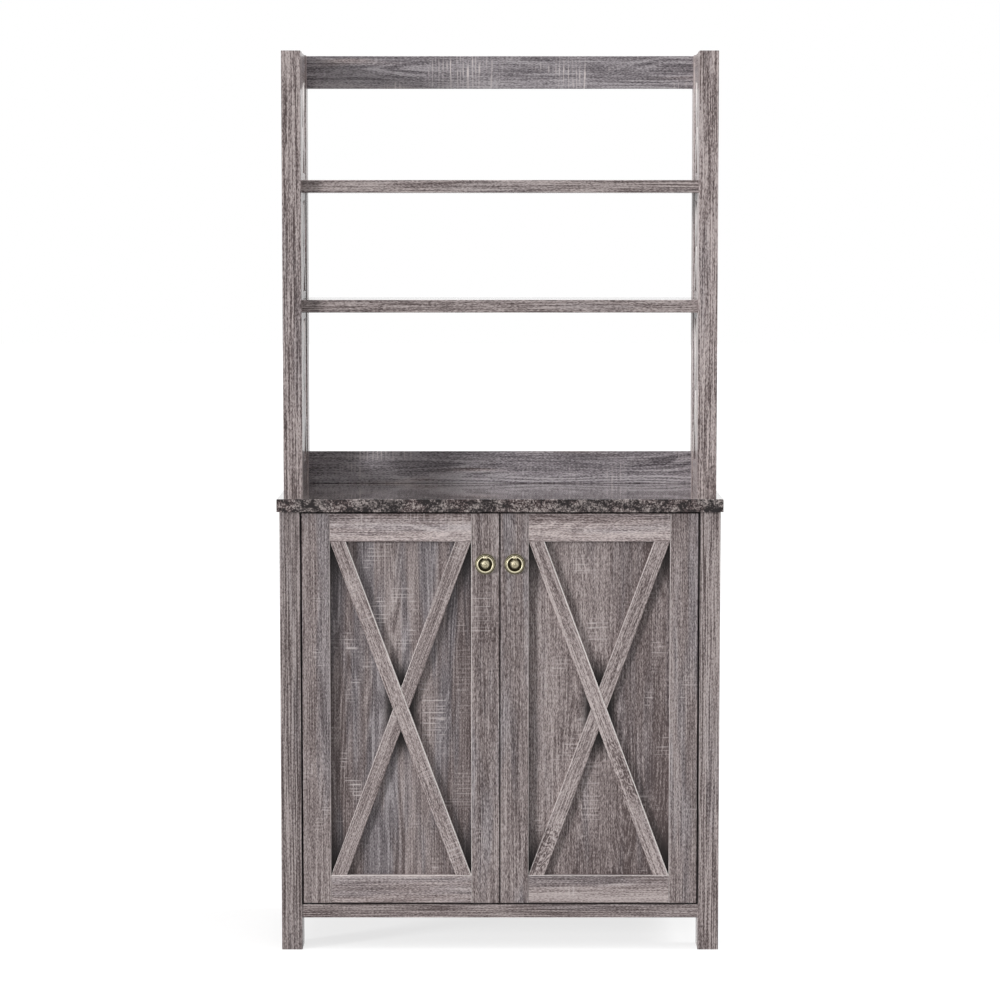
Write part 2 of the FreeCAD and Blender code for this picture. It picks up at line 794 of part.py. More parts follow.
make_legs()
make_side_panels()
make_cabinet_boards()
make_inner_shelf()
make_countertop()
make_catch()
make_bushes()
for side_name, side_sign in SIDES:
    make_pivot_pins(side_name, side_sign)
    make_door_stiles(side_name, side_sign)
    make_door_rails(side_name, side_sign)
    make_door_panel(side_name, side_sign)
    make_door_braces(side_name, side_sign)
    make_strike(side_name, side_sign)
    make_pull(side_name, side_sign)
    make_ring(side_name, side_sign)
make_dowels()
make_posts()
make_hutch_sides()
make_shelves()
make_shelf_fixings()
make_back_rails()
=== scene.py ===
"""Finishes for a bakers rack: oak laminate, a speckled countertop, turned ring pulls and a studio.

Metres, in the rack's own frame: X is the width, -Y the front, +Z up, and the origin is on the floor
under the middle of the countertop.
"""

import collections
import json
import math

import bmesh
import bpy
from bpy.props import FloatProperty, FloatVectorProperty, IntProperty, PointerProperty
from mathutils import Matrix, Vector


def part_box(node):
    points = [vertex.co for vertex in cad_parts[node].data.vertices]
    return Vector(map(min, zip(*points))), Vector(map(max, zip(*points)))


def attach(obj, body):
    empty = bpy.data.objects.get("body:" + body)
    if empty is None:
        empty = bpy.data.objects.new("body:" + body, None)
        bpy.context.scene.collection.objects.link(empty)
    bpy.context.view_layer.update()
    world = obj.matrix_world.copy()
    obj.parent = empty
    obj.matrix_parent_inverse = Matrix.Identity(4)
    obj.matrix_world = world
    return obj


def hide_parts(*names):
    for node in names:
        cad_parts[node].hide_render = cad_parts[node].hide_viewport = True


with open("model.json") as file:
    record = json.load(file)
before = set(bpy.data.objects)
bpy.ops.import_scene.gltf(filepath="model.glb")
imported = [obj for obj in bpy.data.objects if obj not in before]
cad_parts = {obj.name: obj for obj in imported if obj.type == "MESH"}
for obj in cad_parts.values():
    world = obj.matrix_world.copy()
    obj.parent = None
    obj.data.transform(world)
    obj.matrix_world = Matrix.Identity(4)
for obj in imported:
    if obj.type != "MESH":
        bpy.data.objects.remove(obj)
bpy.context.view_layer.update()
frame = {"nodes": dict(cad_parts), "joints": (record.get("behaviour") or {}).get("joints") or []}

bl_info = {
    "name": "Bakers Rack Finisher",
    "version": (1, 0, 0),
    "blender": (4, 5, 0),
    "location": "View3D > Sidebar > Rack",
    "description": "Dresses a bakers rack in oak laminate, speckled laminate and antique brass",
    "category": "Object",
}

MILLIMETRES = 1000.0
FULL_TURN = 2 * math.pi
SIDES = (("left", -1), ("right", 1))
JOINTS = {joint["name"]: joint for joint in frame["joints"]}


def srgb(red, green, blue):
    """A colour as a paint chart gives it, 0 to 255, in the linear values that shaders use."""
    def linear(level):
        share = level / 255
        return share / 12.92 if share <= 0.04045 else ((share + 0.055) / 1.055) ** 2.4
    return linear(red), linear(green), linear(blue)


def colour_property(name, description, default):
    return FloatVectorProperty(name=name, description=description, default=default, size=3,
                               min=0, max=1, subtype="COLOR")


def length_property(name, description, default):
    return FloatProperty(name=name, description=description, default=default, min=0,
                         unit="LENGTH", precision=4)


def share_property(name, description, default):
    return FloatProperty(name=name, description=description, default=default, min=0, max=1,
                         subtype="FACTOR")


def angle_property(name, description, degrees):
    return FloatProperty(name=name, description=description, default=math.radians(degrees),
                         subtype="ANGLE")


def towards_property(name, description, default):
    return FloatVectorProperty(name=name, description=description, default=default,
                               subtype="DIRECTION")


# ---------------------------------------------------------------- settings


class OakSettings(bpy.types.PropertyGroup):
    """Grey oak laminate."""

    shade: colour_property("Dark grain", "Darkest of the warm grain", srgb(74, 62, 61))
    body: colour_property("Body", "Middle of the warm grain", srgb(136, 124, 123))
    bloom: colour_property("Light grain", "Lightest of the warm grain", srgb(184, 173, 171))
    cool_shade: colour_property("Weathered dark", "Darkest of the weathered grain", srgb(66, 61, 65))
    cool_body: colour_property("Weathered body", "Middle of the weathered grain", srgb(125, 119, 123))
    cool_bloom: colour_property("Weathered light", "Lightest of the weathered grain", srgb(171, 166, 169))
    limed: colour_property("Limed streaks", "Pale lines left in the grain", srgb(208, 199, 198))
    # Painted highlight: this pale colour is laid along one long edge of the door stiles, door rails and
    # braces, where light catches the edge.
    worn: colour_property("Worn edge", "Pale line along a worn edge", srgb(242, 236, 233))
    pore: colour_property("Pores", "Short dark pores", srgb(50, 43, 43))
    fibre_width: length_property("Fibre width", "Width of one fibre of the grain", 0.0013)
    fibre_length: length_property("Fibre length", "Length of one fibre of the grain", 0.009)
    speck_width: length_property("Speck width", "Width of the finest specks", 0.0013)
    speck_length: length_property("Speck length", "Length of the finest specks", 0.0052)
    stripe_width: length_property("Stripe width", "Width of the long stripes", 0.0017)
    stripe_length: length_property("Stripe length", "Length of the long stripes", 0.13)
    band_width: length_property("Band width", "Width of the broad light and dark bands", 0.026)
    band_length: length_property("Band length", "Length of the broad bands", 0.48)
    saw_spacing: length_property("Saw spacing", "Usual distance between the saw's lines", 0.0085)
    saw_patch: length_property("Saw patch", "Width of a patch of saw lines", 0.05)
    # The width of that painted edge highlight.
    edge_width: length_property("Edge width", "Width of the worn line along a board's edges", 0.0018)
    relief: length_property("Relief", "Depth of the pressed grain", 0.0003)
    roughness: share_property("Roughness", "Roughness of the satin face", 0.4)
    # Painted shade: this black is laid along the gaps round the doors and into the door panels' tight
    # corners, where shade falls. The next setting is the width of the line along a gap.
    soot: colour_property("Soot", "Black of tight corners and gaps", srgb(24, 20, 20))
    painted_gap_shade_width: length_property("Soot width", "Width of the black line along a gap", 0.0013)
    # The next two settings paint shade into the tight corners round a door panel: how dark it is laid, and
    # how far it reaches out of a corner.
    painted_corner_shade: share_property("Grime", "Darkening in the tight corners round a panel", 0.95)
    painted_corner_shade_reach: length_property("Grime reach", "How far the darkening comes out of a corner", 0.052)
    gloss: share_property("Gloss", "Weight of the clear top layer", 0.55)
    gloss_roughness: share_property("Gloss roughness", "Roughness of the clear top layer", 0.18)


class GraniteSettings(bpy.types.PropertyGroup):
    """Speckled laminate of the countertop."""

    black: colour_property("Black", "Darkest grains", srgb(28, 20, 21))
    brown: colour_property("Brown", "Brown ground", srgb(80, 65, 65))
    grey: colour_property("Grey", "Grey ground", srgb(94, 86, 85))
    beige: colour_property("Beige", "Pale grains", srgb(166, 156, 153))
    grain_size: length_property("Grain size", "Size of the small grains", 0.003)
    cluster_size: length_property("Cluster size", "Size of the light and dark clusters", 0.023)
    roughness: share_property("Roughness", "Roughness of the glossy face", 0.08)


class BrassSettings(bpy.types.PropertyGroup):
    """Antique brass of the ring pulls, and the rack's small hardware."""

    # Painted highlight and wear: this bright brass is the polish on the rosette's dome, and the painted
    # highlights on the lip, the bead and the ring's crest.
    worn: colour_property("Worn brass", "Bright brass where hands polish it", srgb(242, 234, 208))
    patina: colour_property("Patina", "Olive brown patina", srgb(116, 108, 80))
    # This black is patina in the rosette's hollows, and also painted shade in its dish and on its flat rim.
    black_patina_and_shade: colour_property("Recess", "Blackened recesses", srgb(30, 27, 18))
    zinc: colour_property("Zinc", "Zinc plated steel", srgb(178, 180, 184))
    blued: colour_property("Blued steel", "Oiled steel of the pivot pins", srgb(52, 52, 55))
    plastic: colour_property("Plastic", "Black moulded plastic", srgb(30, 30, 31))
    beech: colour_property("Beech", "Plain turned beech", srgb(200, 168, 134))
    roughness: share_property("Roughness", "Roughness of the brass", 0.4)


class PullSettings(bpy.types.PropertyGroup):
    """Turned profile of the ring pulls."""

    rim_height: length_property("Rim height", "Thickness of the rosette at its rim", 0.0012)
    rim_width: length_property("Rim width", "Width of the flat rim", 0.0016)
    bead: length_property("Bead", "Radius of the round bead inside the rim", 0.0013)
    dish_height: length_property("Dish height", "Height of the dished floor", 0.001)
    dome_radius: length_property("Dome radius", "Radius of the dome", 0.0102)
    dome_height: length_property("Dome height", "Height of the dome over the door", 0.0049)
    dimple_radius: length_property("Dimple radius", "Radius of the groove round the button", 0.0036)
    dimple_depth: length_property("Dimple depth", "Depth of that groove", 0.0006)
    button_radius: length_property("Button radius", "Radius of the button", 0.0024)
    button_height: length_property("Button height", "Height of the button over the door", 0.0056)
    lobe_radius: length_property("Lobe radius", "Radius of the lobes that hold the ring", 0.0039)
    groove_radius: length_property("Groove radius", "Radius between the two lobes", 0.0031)
    neck_radius: length_property("Neck radius", "Radius of the post that carries the lobes", 0.0023)
    barrel_length: length_property("Barrel length", "Length of the two lobes together", 0.0096)
    pin_radius: length_property("Pin radius", "Radius of the ring's straight top", 0.0015)
    bore_gap: length_property("Bore gap", "Gap round the pin in the lobes", 0.00005)
    steps: IntProperty(name="Steps", description="Facets round a turned piece", default=72, min=12)


class NailSettings(bpy.types.PropertyGroup):
    """Nails of the cabinet's back panel."""

    radius: length_property("Radius", "Radius of a nail head", 0.0028)
    height: length_property("Height", "How far a head stands off the panel", 0.0009)
    inset: length_property("Inset", "From the panel's edge to the nails", 0.009)
    across: IntProperty(name="Across", description="Nails in a row across", default=8, min=2)
    up: IntProperty(name="Up", description="Nails in a row up", default=7, min=2)
    steps: IntProperty(name="Steps", description="Facets round a nail head", default=10, min=6)


class StudioSettings(bpy.types.PropertyGroup):
    """Camera, light and floor."""

    camera_distance: length_property("Camera distance", "From the legs' front to the camera", 6.2)
    camera_height: length_property("Camera height", "Height of the camera", 1.48822)
    camera_tilt: angle_property("Camera tilt", "How far the camera looks down", 5.2214)
    lens: FloatProperty(name="Lens", description="Focal length", default=111.24, min=1, unit="CAMERA")
    key_strength: FloatProperty(name="Key light", description="Strength of the key light", default=2.7)
    key_softness: angle_property("Key softness", "Angle that the key light fills", 11)
    key_towards: towards_property("Key direction", "The way the key light shines", (0.838, 0.524, -0.16))
    top_strength: FloatProperty(name="Top light", description="Strength of the light overhead", default=1.1)
    top_softness: angle_property("Top softness", "Angle that the light overhead fills", 70)
    top_towards: towards_property("Top direction", "The way the light overhead shines", (0.05, 0.36, -0.93))
    rim_strength: FloatProperty(name="Rim light", description="Strength of the rim light", default=1.6)
    rim_softness: angle_property("Rim softness", "Angle that the rim light fills", 22)
    rim_towards: towards_property("Rim direction", "The way the rim light shines", (-0.84, -0.03, -0.54))
    fill: share_property("Fill", "Strength of the light from all round", 0.27)
    lift: share_property("Floor lift", "White added where the floor is seen", 0.74)
    floor_size: length_property("Floor size", "Length of the floor's sides", 60)
    floor: colour_property("Floor", "Colour of the floor", srgb(168, 168, 168))


# ---------------------------------------------------------------- shader maths


# Where the soft steps of the patterns begin and end. The last two lines are in millimetres, and the
# others are levels of a cloud or a wave, or a share of a board's width.
STEP_LEVELS = {
    "stripes": (0.32, 0.68), "pores": (0.58, 0.68), "streaks": (0.72, 0.95), "weathered": (0.42, 0.62),
    "flame rings": (-0.6, 0.9), "flame patches": (0.42, 0.62), "knot curls": (-0.1, 0.9),
    "saw lines": (0.45, 0.98), "saw patches": (0.58, 0.72), "saw breaks": (0.36, 0.58),
    "off heart": (0.14, 0.5), "grey ground": (0.42, 0.6), "blotches": (0.36, 0.44),
    "dark grains": (0.3, 0.54), "pale grains": (0.54, 0.88), "flecks": (0.62, 0.72),
    "dome polish": (0.4, 0.65), "ring polish": (0.3, 0.6),
    "over floor": (150, 400), "countertop ends": (300, 420),
    "off door": (0.9, 3.4), "off seat": (0.2, 0.9), "off crest": (0.25, 0.8),
}

# The tones of the dark, middle and light inks, and the share of a soft line or patch that is full.
INK_TONES = (0.1, 0.5, 0.9)
SOFT_FROM = 0.6


class Term:
    """One output of a shader node. Python's operators on it add the Math nodes they stand for."""

    def __init__(self, finish, socket):
        self.finish = finish
        self.socket = socket

    def math(self, operation, first, second=0.0):
        return self.finish.add("ShaderNodeMath", {"operation": operation}, {0: first, 1: second})

    def __add__(self, other):
        return self.math("ADD", self, other)

    def __radd__(self, other):
        return self.math("ADD", other, self)

    def __sub__(self, other):
        return self.math("SUBTRACT", self, other)

    def __rsub__(self, other):
        return self.math("SUBTRACT", other, self)

    def __mul__(self, other):
        return self.math("MULTIPLY", self, other)

    def __rmul__(self, other):
        return self.math("MULTIPLY", other, self)

    def __truediv__(self, other):
        return self.math("DIVIDE", self, other)

    def __rtruediv__(self, other):
        return self.math("DIVIDE", other, self)

    def __pow__(self, other):
        return self.math("POWER", self, other)

    def __abs__(self):
        return self.math("ABSOLUTE", self)

    def sine(self):
        return self.math("SINE", self)

    def root(self):
        return self.math("SQRT", self)

    def least(self, other):
        return self.math("MINIMUM", self, other)

    def most(self, other):
        return self.math("MAXIMUM", self, other)

    def below(self, other):
        return self.math("LESS_THAN", self, other)

    def above(self, other):
        return self.math("GREATER_THAN", self, other)


class Finish:
    """A node tree being written, one node at a time."""

    def __init__(self, tree):
        self.tree = tree

    def add(self, kind, settings=None, inputs=None, output=0):
        """Add a node with its settings and the values or links of its sockets; give one output."""
        node = self.tree.nodes.new(kind)
        for name, value in (settings or {}).items():
            if name == "stops":
                self.set_stops(node.color_ramp, value)
            else:
                setattr(node, name, value)
        for key, value in (inputs or {}).items():
            self.plug(node.inputs[key], value)
        return Term(self, node.outputs[output])

    def plug(self, socket, value):
        if isinstance(value, Term):
            self.tree.links.new(value.socket, socket)
        elif socket.type == "RGBA":
            socket.default_value = (*tuple(value)[:3], 1)
        else:
            socket.default_value = value

    def feed(self, values):
        """Set the sockets of the material's Principled shader, or link them."""
        for name, value in values.items():
            self.plug(self.tree.nodes["Principled BSDF"].inputs[name], value)

    @staticmethod
    def set_stops(ramp, stops):
        """Fill a colour ramp from (place, colour) pairs."""
        while len(ramp.elements) < len(stops):
            ramp.elements.new(1.0)
        for element, (place, colour) in zip(ramp.elements, stops):
            element.position = place
            element.color = (*tuple(colour)[:3], 1)

    def object_point(self, turn=(0, 0, 0), shift=(0, 0, 0)):
        """The point on the piece in millimetres, turned about the origin and then shifted."""
        place = self.add("ShaderNodeTexCoord", output="Object")
        scale = (MILLIMETRES,) * 3
        return self.add("ShaderNodeMapping", {"vector_type": "POINT"},
                        {"Vector": place, "Rotation": turn, "Location": shift, "Scale": scale})

    def split(self, point):
        """The three parts of a vector."""
        node = self.tree.nodes.new("ShaderNodeSeparateXYZ")
        self.plug(node.inputs[0], point)
        return [Term(self, socket) for socket in node.outputs]

    def cloud(self, point, size, shift=0.0, detail=2.0, roughness=0.5, distortion=0.0):
        """Noise about a half, its features sized in millimetres along each axis."""
        scaled = self.add("ShaderNodeVectorMath", {"operation": "MULTIPLY_ADD"},
                          {0: point, 1: [1 / s for s in size], 2: (shift, shift, shift)})
        return self.add("ShaderNodeTexNoise", {"noise_dimensions": "3D"},
                        {"Vector": scaled, "Scale": 1.0, "Detail": detail,
                         "Roughness": roughness, "Distortion": distortion})

    def rise(self, value, low, high):
        """0 up to low and 1 from high, smooth between."""
        return self.add("ShaderNodeMapRange", {"interpolation_type": "SMOOTHSTEP"},
                        {"Value": value, "From Min": low, "From Max": high})

    def ease(self, step, value):
        """One of the named soft steps."""
        return self.rise(value, *STEP_LEVELS[step])

    def mix(self, share, first, second):
        """The first colour, turning into the second as share goes from 0 to 1."""
        return self.add("ShaderNodeMix", {"data_type": "RGBA"}, {0: share, 6: first, 7: second}, 2)

    def ramp(self, value, stops):
        return self.add("ShaderNodeValToRGB", {"stops": stops}, {0: value})

    def bump(self, height, depth, strength):
        return self.add("ShaderNodeBump", inputs={"Height": height, "Distance": depth,
                                                  "Strength": strength})


def new_finish(name):
    """A new material, held by its name, ready to be written."""
    material = bpy.data.materials.new(name)
    material.use_nodes = True
    finish = Finish(material.node_tree)
    finish.material = material
    return finish


def dress(node, finish):
    """Put one finish on a CAD node."""
    slots = frame["nodes"][node].data.materials
    slots.clear()
    slots.append(finish.material)


# ---------------------------------------------------------------- oak laminate


# How a board was cut and where it lies. turn lays its grain along Z, stripe is how much of its grain
# runs in long stripes, figure how much flame it shows, saw how strong its saw marks are, weather how
# much of it is weathered grey, and tone how light it is. worn is how strong a painted highlight is along
# one of its long edges, below 0 for the left or lower one. heart is the place across it where it is
# painted lightest: partly the print's light heart, and partly painted light and shade. foot is how much
# darker it is painted towards the floor, painted shade, and shine is how glossy it is. sooty is the edge
# that lies by a gap round the doors, where a line of painted shade is laid, signed as in worn.
Board = collections.namedtuple(
    "Board", "node turn stripe figure saw weather tone worn heart foot shine sooty",
    defaults=(0, None, 0.0, 1.0, 0))

# The usual cuts: stripe, figure, saw and weather.
STRIP = (1.0, 0.0, 0.2, 0.3)
SHELF = (0.8, 0.1, 0.2, 0.3)
PLAIN = (0.3, 0.4, 0.7, 0.6)
DOOR_RAIL = (0.3, 0.9, 0.7, 0.4)
DOOR_BRACE = (0.4, 0.3, 0.7, 0.15)
SIDE_BRACE = (0.5, 0.1, 0.5, 0.3)
FIGURED = (0.2, 1.5, 1.0, 0.8)
WEATHERED = (0.2, 1.6, 1.0, 1.7)
BACK_PRINT = (0.2, 0.8, 0.6, 0.5)

# Where saw lines show most on a board: X, Z, half width and half height in millimetres, and strength.
SAWN = {
    "left_door_latch_stile": ((-42, 690, 30, 60, 0.8),),
    "left_door_panel": ((-135, 470, 28, 60, 1.0), (-74, 560, 20, 90, 0.35), (-74, 330, 20, 50, 0.5)),
    "right_door_panel": ((198, 650, 26, 28, 0.8), (180, 790, 40, 22, 0.7), (185, 330, 22, 90, 0.7)),
    "left_door_long_brace": ((-300, 745, 20, 30, 1.0), (-90, 230, 24, 70, 1.0)),
    "left_door_top_rail": ((-90, 870, 40, 40, 0.7),),
    "top_back_rail": ((-75, 1790, 95, 40, 0.7), (150, 1790, 40, 40, 0.7)),
    "backsplash": ((-250, 985, 90, 14, 0.8),),
}

# Where the dark, curled wood of a knot lies, in the same way.
KNOTS = {
    "right_door_short_braces": ((88, 205, 60, 56, 1.0),),
    "right_door_long_brace": ((248, 370, 60, 80, 0.7),),
    "left_door_latch_stile": ((-22, 655, 26, 30, 0.5),),
}

# The clouds that the print is made of: the size of their features in millimetres along X, Y and the
# grain, their place in the noise, and their detail and roughness.
CLOUDS = {
    "flame": ((58, 58, 520), 7, 1.5, 0.45),
    "flame patches": ((60, 60, 220), 8, 1.0),
    "knot curls": ((24, 24, 42), 13, 2.5),
    "saw sway": ((400, 400, 21), 5, 1.0),
    "saw breaks": ((55, 55, 5), 11, 2.0),
    "weathering": ((30, 30, 330), 4, 2.0),
    "pores": ((1.2, 1.2, 9), 6, 1.0),
}

# How much fibres, stripes, bands and specks lighten or darken the print: on every board, and what the
# share of long stripes adds to that.
CONTRASTS = ((1.25, 0.0), (0.26, 0.62), (1.1, -0.65), (1.4, 0.4))
BODY_CONTRAST = 0.22
FLAME_CONTRAST = 0.22
FLAME_RINGS = 96.0
KNOT_RINGS = 60.0
KNOT_CURL, KNOT_SHADE = 0.56, 0.42
SAW_SWAY = 2.6
SAW_CONTRAST = 0.08
HEART_CONTRAST, HEART_WAVER = 0.26, 0.5
HEART_CALM = 0.2

ALONG_X = (0, -math.pi / 2, 0)
ALONG_Y = (math.pi / 2, 0, 0)
ALONG_Z = (0, 0, 0)
BRACE_WIDTH = 0.030
HALF_BRACE = BRACE_WIDTH / 2 * MILLIMETRES

# How far apart on the printed sheet the boards are cut, and where on it the braces and the back begin.
CUT_STEP, BRACE_STEP = 17.3, 23.7
BRACE_START, BACK_START = 900.0, 777.0


def straight_boards():
    """Every board whose grain runs along one axis."""
    for (side, sign), post, leg, shine in zip(SIDES, (1.16, 1.3), (0.76, 1.0), (1.0, 0.35)):
        # The front legs carry a line of painted shade along the edge by the door gap.
        for place, sooty in (("front", -sign), ("rear", 0)):
            yield Board(f"{side}_{place}_post", ALONG_Z, *STRIP, post, shine=shine)
            yield Board(f"{side}_{place}_leg", ALONG_Z, *STRIP, leg, sooty=sooty)
        yield Board(f"{side}_side_panel", ALONG_Z, *FIGURED, 1.0)
        yield Board(f"{side}_hutch_side_rails", ALONG_Y, *PLAIN, 1.0, shine=shine)
        yield Board(f"{side}_door_hinge_stile", ALONG_Z, *PLAIN, 1.0, -0.3 * sign)
        yield Board(f"{side}_door_latch_stile", ALONG_Z, *PLAIN, 0.94, 0.4 * sign)
        # The door top rails are painted darker towards their top, a painted shadow under the countertop's
        # overhang.
        yield Board(f"{side}_door_top_rail", ALONG_X, *DOOR_RAIL, 1.8, heart=0.35)
        yield Board(f"{side}_door_bottom_rail", ALONG_X, *DOOR_RAIL, 1.3 - 0.1 * sign, 0.5)
    # The panels are painted darker away from their lightest place and towards the floor: partly the print's
    # light heart, and partly painted shade beside the stiles and near the floor.
    yield Board("left_door_panel", ALONG_Z, *FIGURED, 0.95, heart=0.5, foot=0.1)
    yield Board("right_door_panel", ALONG_Z, 0.2, 1.1, 0.8, 0.35, 1.1, heart=0.3, foot=0.14)
    yield Board("bottom_front_rail", ALONG_X, *SHELF, 0.9, sooty=1)
    for node in ("lower_shelf", "upper_shelf", "adjustable_shelf"):
        yield Board(node, ALONG_X, *SHELF, 1.05, shine=1.8)
    for node in ("bottom_panel", "top_front_stretcher", "top_rear_stretcher"):
        yield Board(node, ALONG_X, *PLAIN, 1.0)
    yield Board("top_back_rail", ALONG_X, *WEATHERED, 1.22)
    # The backsplash is painted lightest at its foot, painted light bounced from the countertop.
    yield Board("backsplash", ALONG_X, *WEATHERED, 1.75, heart=0.0)


class OakPrint:
    """The grey oak laminate of one board. point has the grain along Z, and shift is the place on the
    printed sheet that the board was cut from. Distances are in millimetres."""

    def __init__(self, finish, board, oak, shift, point):
        self.finish, self.board, self.oak, self.shift, self.point = finish, board, oak, shift, point
        self.across, self.back, self.up = finish.split(finish.object_point())
        self.low, self.high = (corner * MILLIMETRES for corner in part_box(board.node))
        self.axis = 2 if board.turn == ALONG_X else 0
        self.fibre = self.grain(oak.fibre_width, oak.fibre_length, 0, 3.0, 0.7)
        self.stripe = finish.ease("stripes", self.grain(oak.stripe_width, oak.stripe_length, 2, 2.0))
        self.band = self.grain(oak.band_width, oak.band_length, 3, 2.0, 0.5, 0.2)
        self.speck = self.grain(oak.speck_width, oak.speck_length, 8, 1.0)
        self.pores = finish.ease("pores", self.cloud("pores"))

    def cloud(self, name):
        size, place, *noise = CLOUDS[name]
        return self.finish.cloud(self.point, size, self.shift + place, *noise)

    def grain(self, width, length, place, *noise):
        """A cloud drawn out along the grain, its width and length in metres."""
        size = [side * MILLIMETRES for side in (width, width, length)]
        return self.finish.cloud(self.point, size, self.shift + place, *noise)

    def flame(self):
        """Nested flame-shaped rings, from the level lines of a slow cloud drawn out along the grain."""
        rings = self.finish.ease("flame rings", (self.cloud("flame") * FLAME_RINGS).sine())
        return (rings - 0.5) * self.finish.ease("flame patches", self.cloud("flame patches"))

    def oblongs(self, places):
        """Soft-edged oblong patches, each at its strength, added up."""
        total = 0.0
        for x, z, wide, tall, strength in places:
            off_x = self.finish.rise(abs(self.across - x), SOFT_FROM * wide, wide)
            off_z = self.finish.rise(abs(self.up - z), SOFT_FROM * tall, tall)
            total = total + (1 - off_x) * (1 - off_z) * strength
        return total

    def knot(self):
        """How a knot changes the tone round it: darker, with pale curls."""
        curls = self.finish.ease("knot curls", (self.cloud("knot curls") * KNOT_RINGS).sine())
        return self.oblongs(KNOTS[self.board.node]) * (curls * KNOT_CURL - KNOT_SHADE)

    def saw_marks(self):
        """Patches of pale broken lines across the grain, and where the patches are."""
        finish, oak = self.finish, self.oak
        along = finish.split(self.point)[2] / (oak.saw_spacing * MILLIMETRES)
        wave = ((along + SAW_SWAY * self.cloud("saw sway")) * FULL_TURN).sine()
        patch = finish.ease("saw patches", self.grain(oak.saw_patch, 1.6 * oak.saw_patch, 9, 1.5))
        patch = patch + self.oblongs(SAWN.get(self.board.node, ()))
        broken = finish.ease("saw breaks", self.cloud("saw breaks"))
        return finish.ease("saw lines", wave) * patch * broken, patch

    def off_edge(self, side):
        """The distance from a straight board's long edge: the left or lower one for a side below 0."""
        place = self.up if self.axis else self.across
        return place - self.low[self.axis] if side < 0 else self.high[self.axis] - place

    def off_corner(self, off_side):
        """The distance from the front corner that carries the painted edge highlight. It grows half as fast
        back along the board's side.
        """
        return off_side.most((self.back - self.low.y) * 0.5)

    def in_front(self, near, far):
        """1 on the board's front and just behind it, falling to 0 between two depths."""
        return 1 - self.finish.rise(self.back, self.low.y + near, self.low.y + far)

    def painted_gap_shade(self):
        """Painted shade: 1 along the front corner that lies by a gap round the doors, where the gap is
        dark.
        """
        reach = self.oak.painted_gap_shade_width * MILLIMETRES
        door_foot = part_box("left_door_hinge_stile")[0].z * MILLIMETRES
        by_edge = 1 - self.finish.rise(self.off_edge(self.board.sooty), 0.5 * reach, reach)
        by_door = self.finish.rise(self.up, door_foot - 5, door_foot - 3)
        return by_edge * by_door * self.in_front(2, 5)

    def painted_edge_highlight(self, edge):
        """How strong the painted edge highlight is, at a distance from its corner."""
        pale = abs(self.board.worn)
        reach = self.oak.edge_width * MILLIMETRES * max(1.0, pale)
        line = 1 - self.finish.rise(edge, SOFT_FROM * reach, reach)
        return line * (0.8 + 0.2 * self.fibre) * min(1.0, pale)

    def heart_and_painted_shade(self):
        """How much darker a board is painted away from its lightest place, and towards the floor. It is
        partly the print's light heart, and partly painted light and shade: a painted shadow under the
        countertop on the door top rails, painted shade beside the stiles on the panels, painted light
        bounced from the countertop at the foot of the backsplash, and painted shade near the floor.
        """
        share = self.off_edge(-1) / (self.high - self.low)[self.axis]
        off_heart = abs(share - self.board.heart) + HEART_WAVER * (self.band - 0.5)
        shade = self.finish.ease("off heart", off_heart) * HEART_CONTRAST
        by_floor = 1 - self.finish.ease("over floor", self.finish.split(self.point)[2])
        return shade + (self.band - 0.5) * HEART_CALM + by_floor * self.board.foot

    def tone(self, worked):
        """How light the print is. worked is where the saw marks are, which is a little lighter."""
        board = self.board
        tone = 0.5 + BODY_CONTRAST * (board.tone - 1) + worked * (SAW_CONTRAST * board.saw)
        layers = (self.fibre, self.stripe, self.band, self.speck)
        for layer, (everywhere, striped) in zip(layers, CONTRASTS):
            tone = tone + (layer - 0.5) * (everywhere + striped * board.stripe)
        if board.figure:
            tone = tone + self.flame() * (FLAME_CONTRAST * board.figure)
        if board.node in KNOTS:
            tone = tone + self.knot()
        if board.heart is not None:
            tone = tone - self.heart_and_painted_shade()
        return tone

    def inked(self, tone, *inks):
        """The dark, middle and light inks of the grain, by tone."""
        light = math.sqrt(self.board.tone)
        stops = [(place, [level * light for level in ink]) for place, ink in zip(INK_TONES, inks)]
        return self.finish.ramp(tone, stops)

    def colour(self, edge):
        """The print's colour: warm and weathered grain, pale streaks, pores and saw lines, with a painted
        highlight along one edge and painted shade along a gap.
        """
        finish, board, oak = self.finish, self.board, self.oak
        marks, worked = self.saw_marks()
        tone = self.tone(worked)
        warm = self.inked(tone, oak.shade, oak.body, oak.bloom)
        cool = self.inked(tone, oak.cool_shade, oak.cool_body, oak.cool_bloom)
        zone = self.cloud("weathering") + 0.2 * (board.weather - 0.8)
        colour = finish.mix(finish.ease("weathered", zone) * min(board.weather, 1.0), warm, cool)
        streaks = finish.ease("streaks", self.stripe * 0.5 + self.fibre * 0.5)
        colour = finish.mix(streaks * (0.2 + 0.3 * board.stripe), colour, oak.limed)
        colour = finish.mix(self.pores * (0.25 + 0.25 * board.stripe), colour, oak.pore)
        colour = finish.mix(marks * (0.3 + 0.8 * self.fibre) * board.saw, colour, oak.limed)
        # Painted highlight along one long edge.
        if board.worn:
            colour = finish.mix(self.painted_edge_highlight(edge), colour, oak.worn)
        # Painted shade along a gap round the doors.
        if board.sooty:
            colour = finish.mix(self.painted_gap_shade(), colour, oak.soot)
        return colour

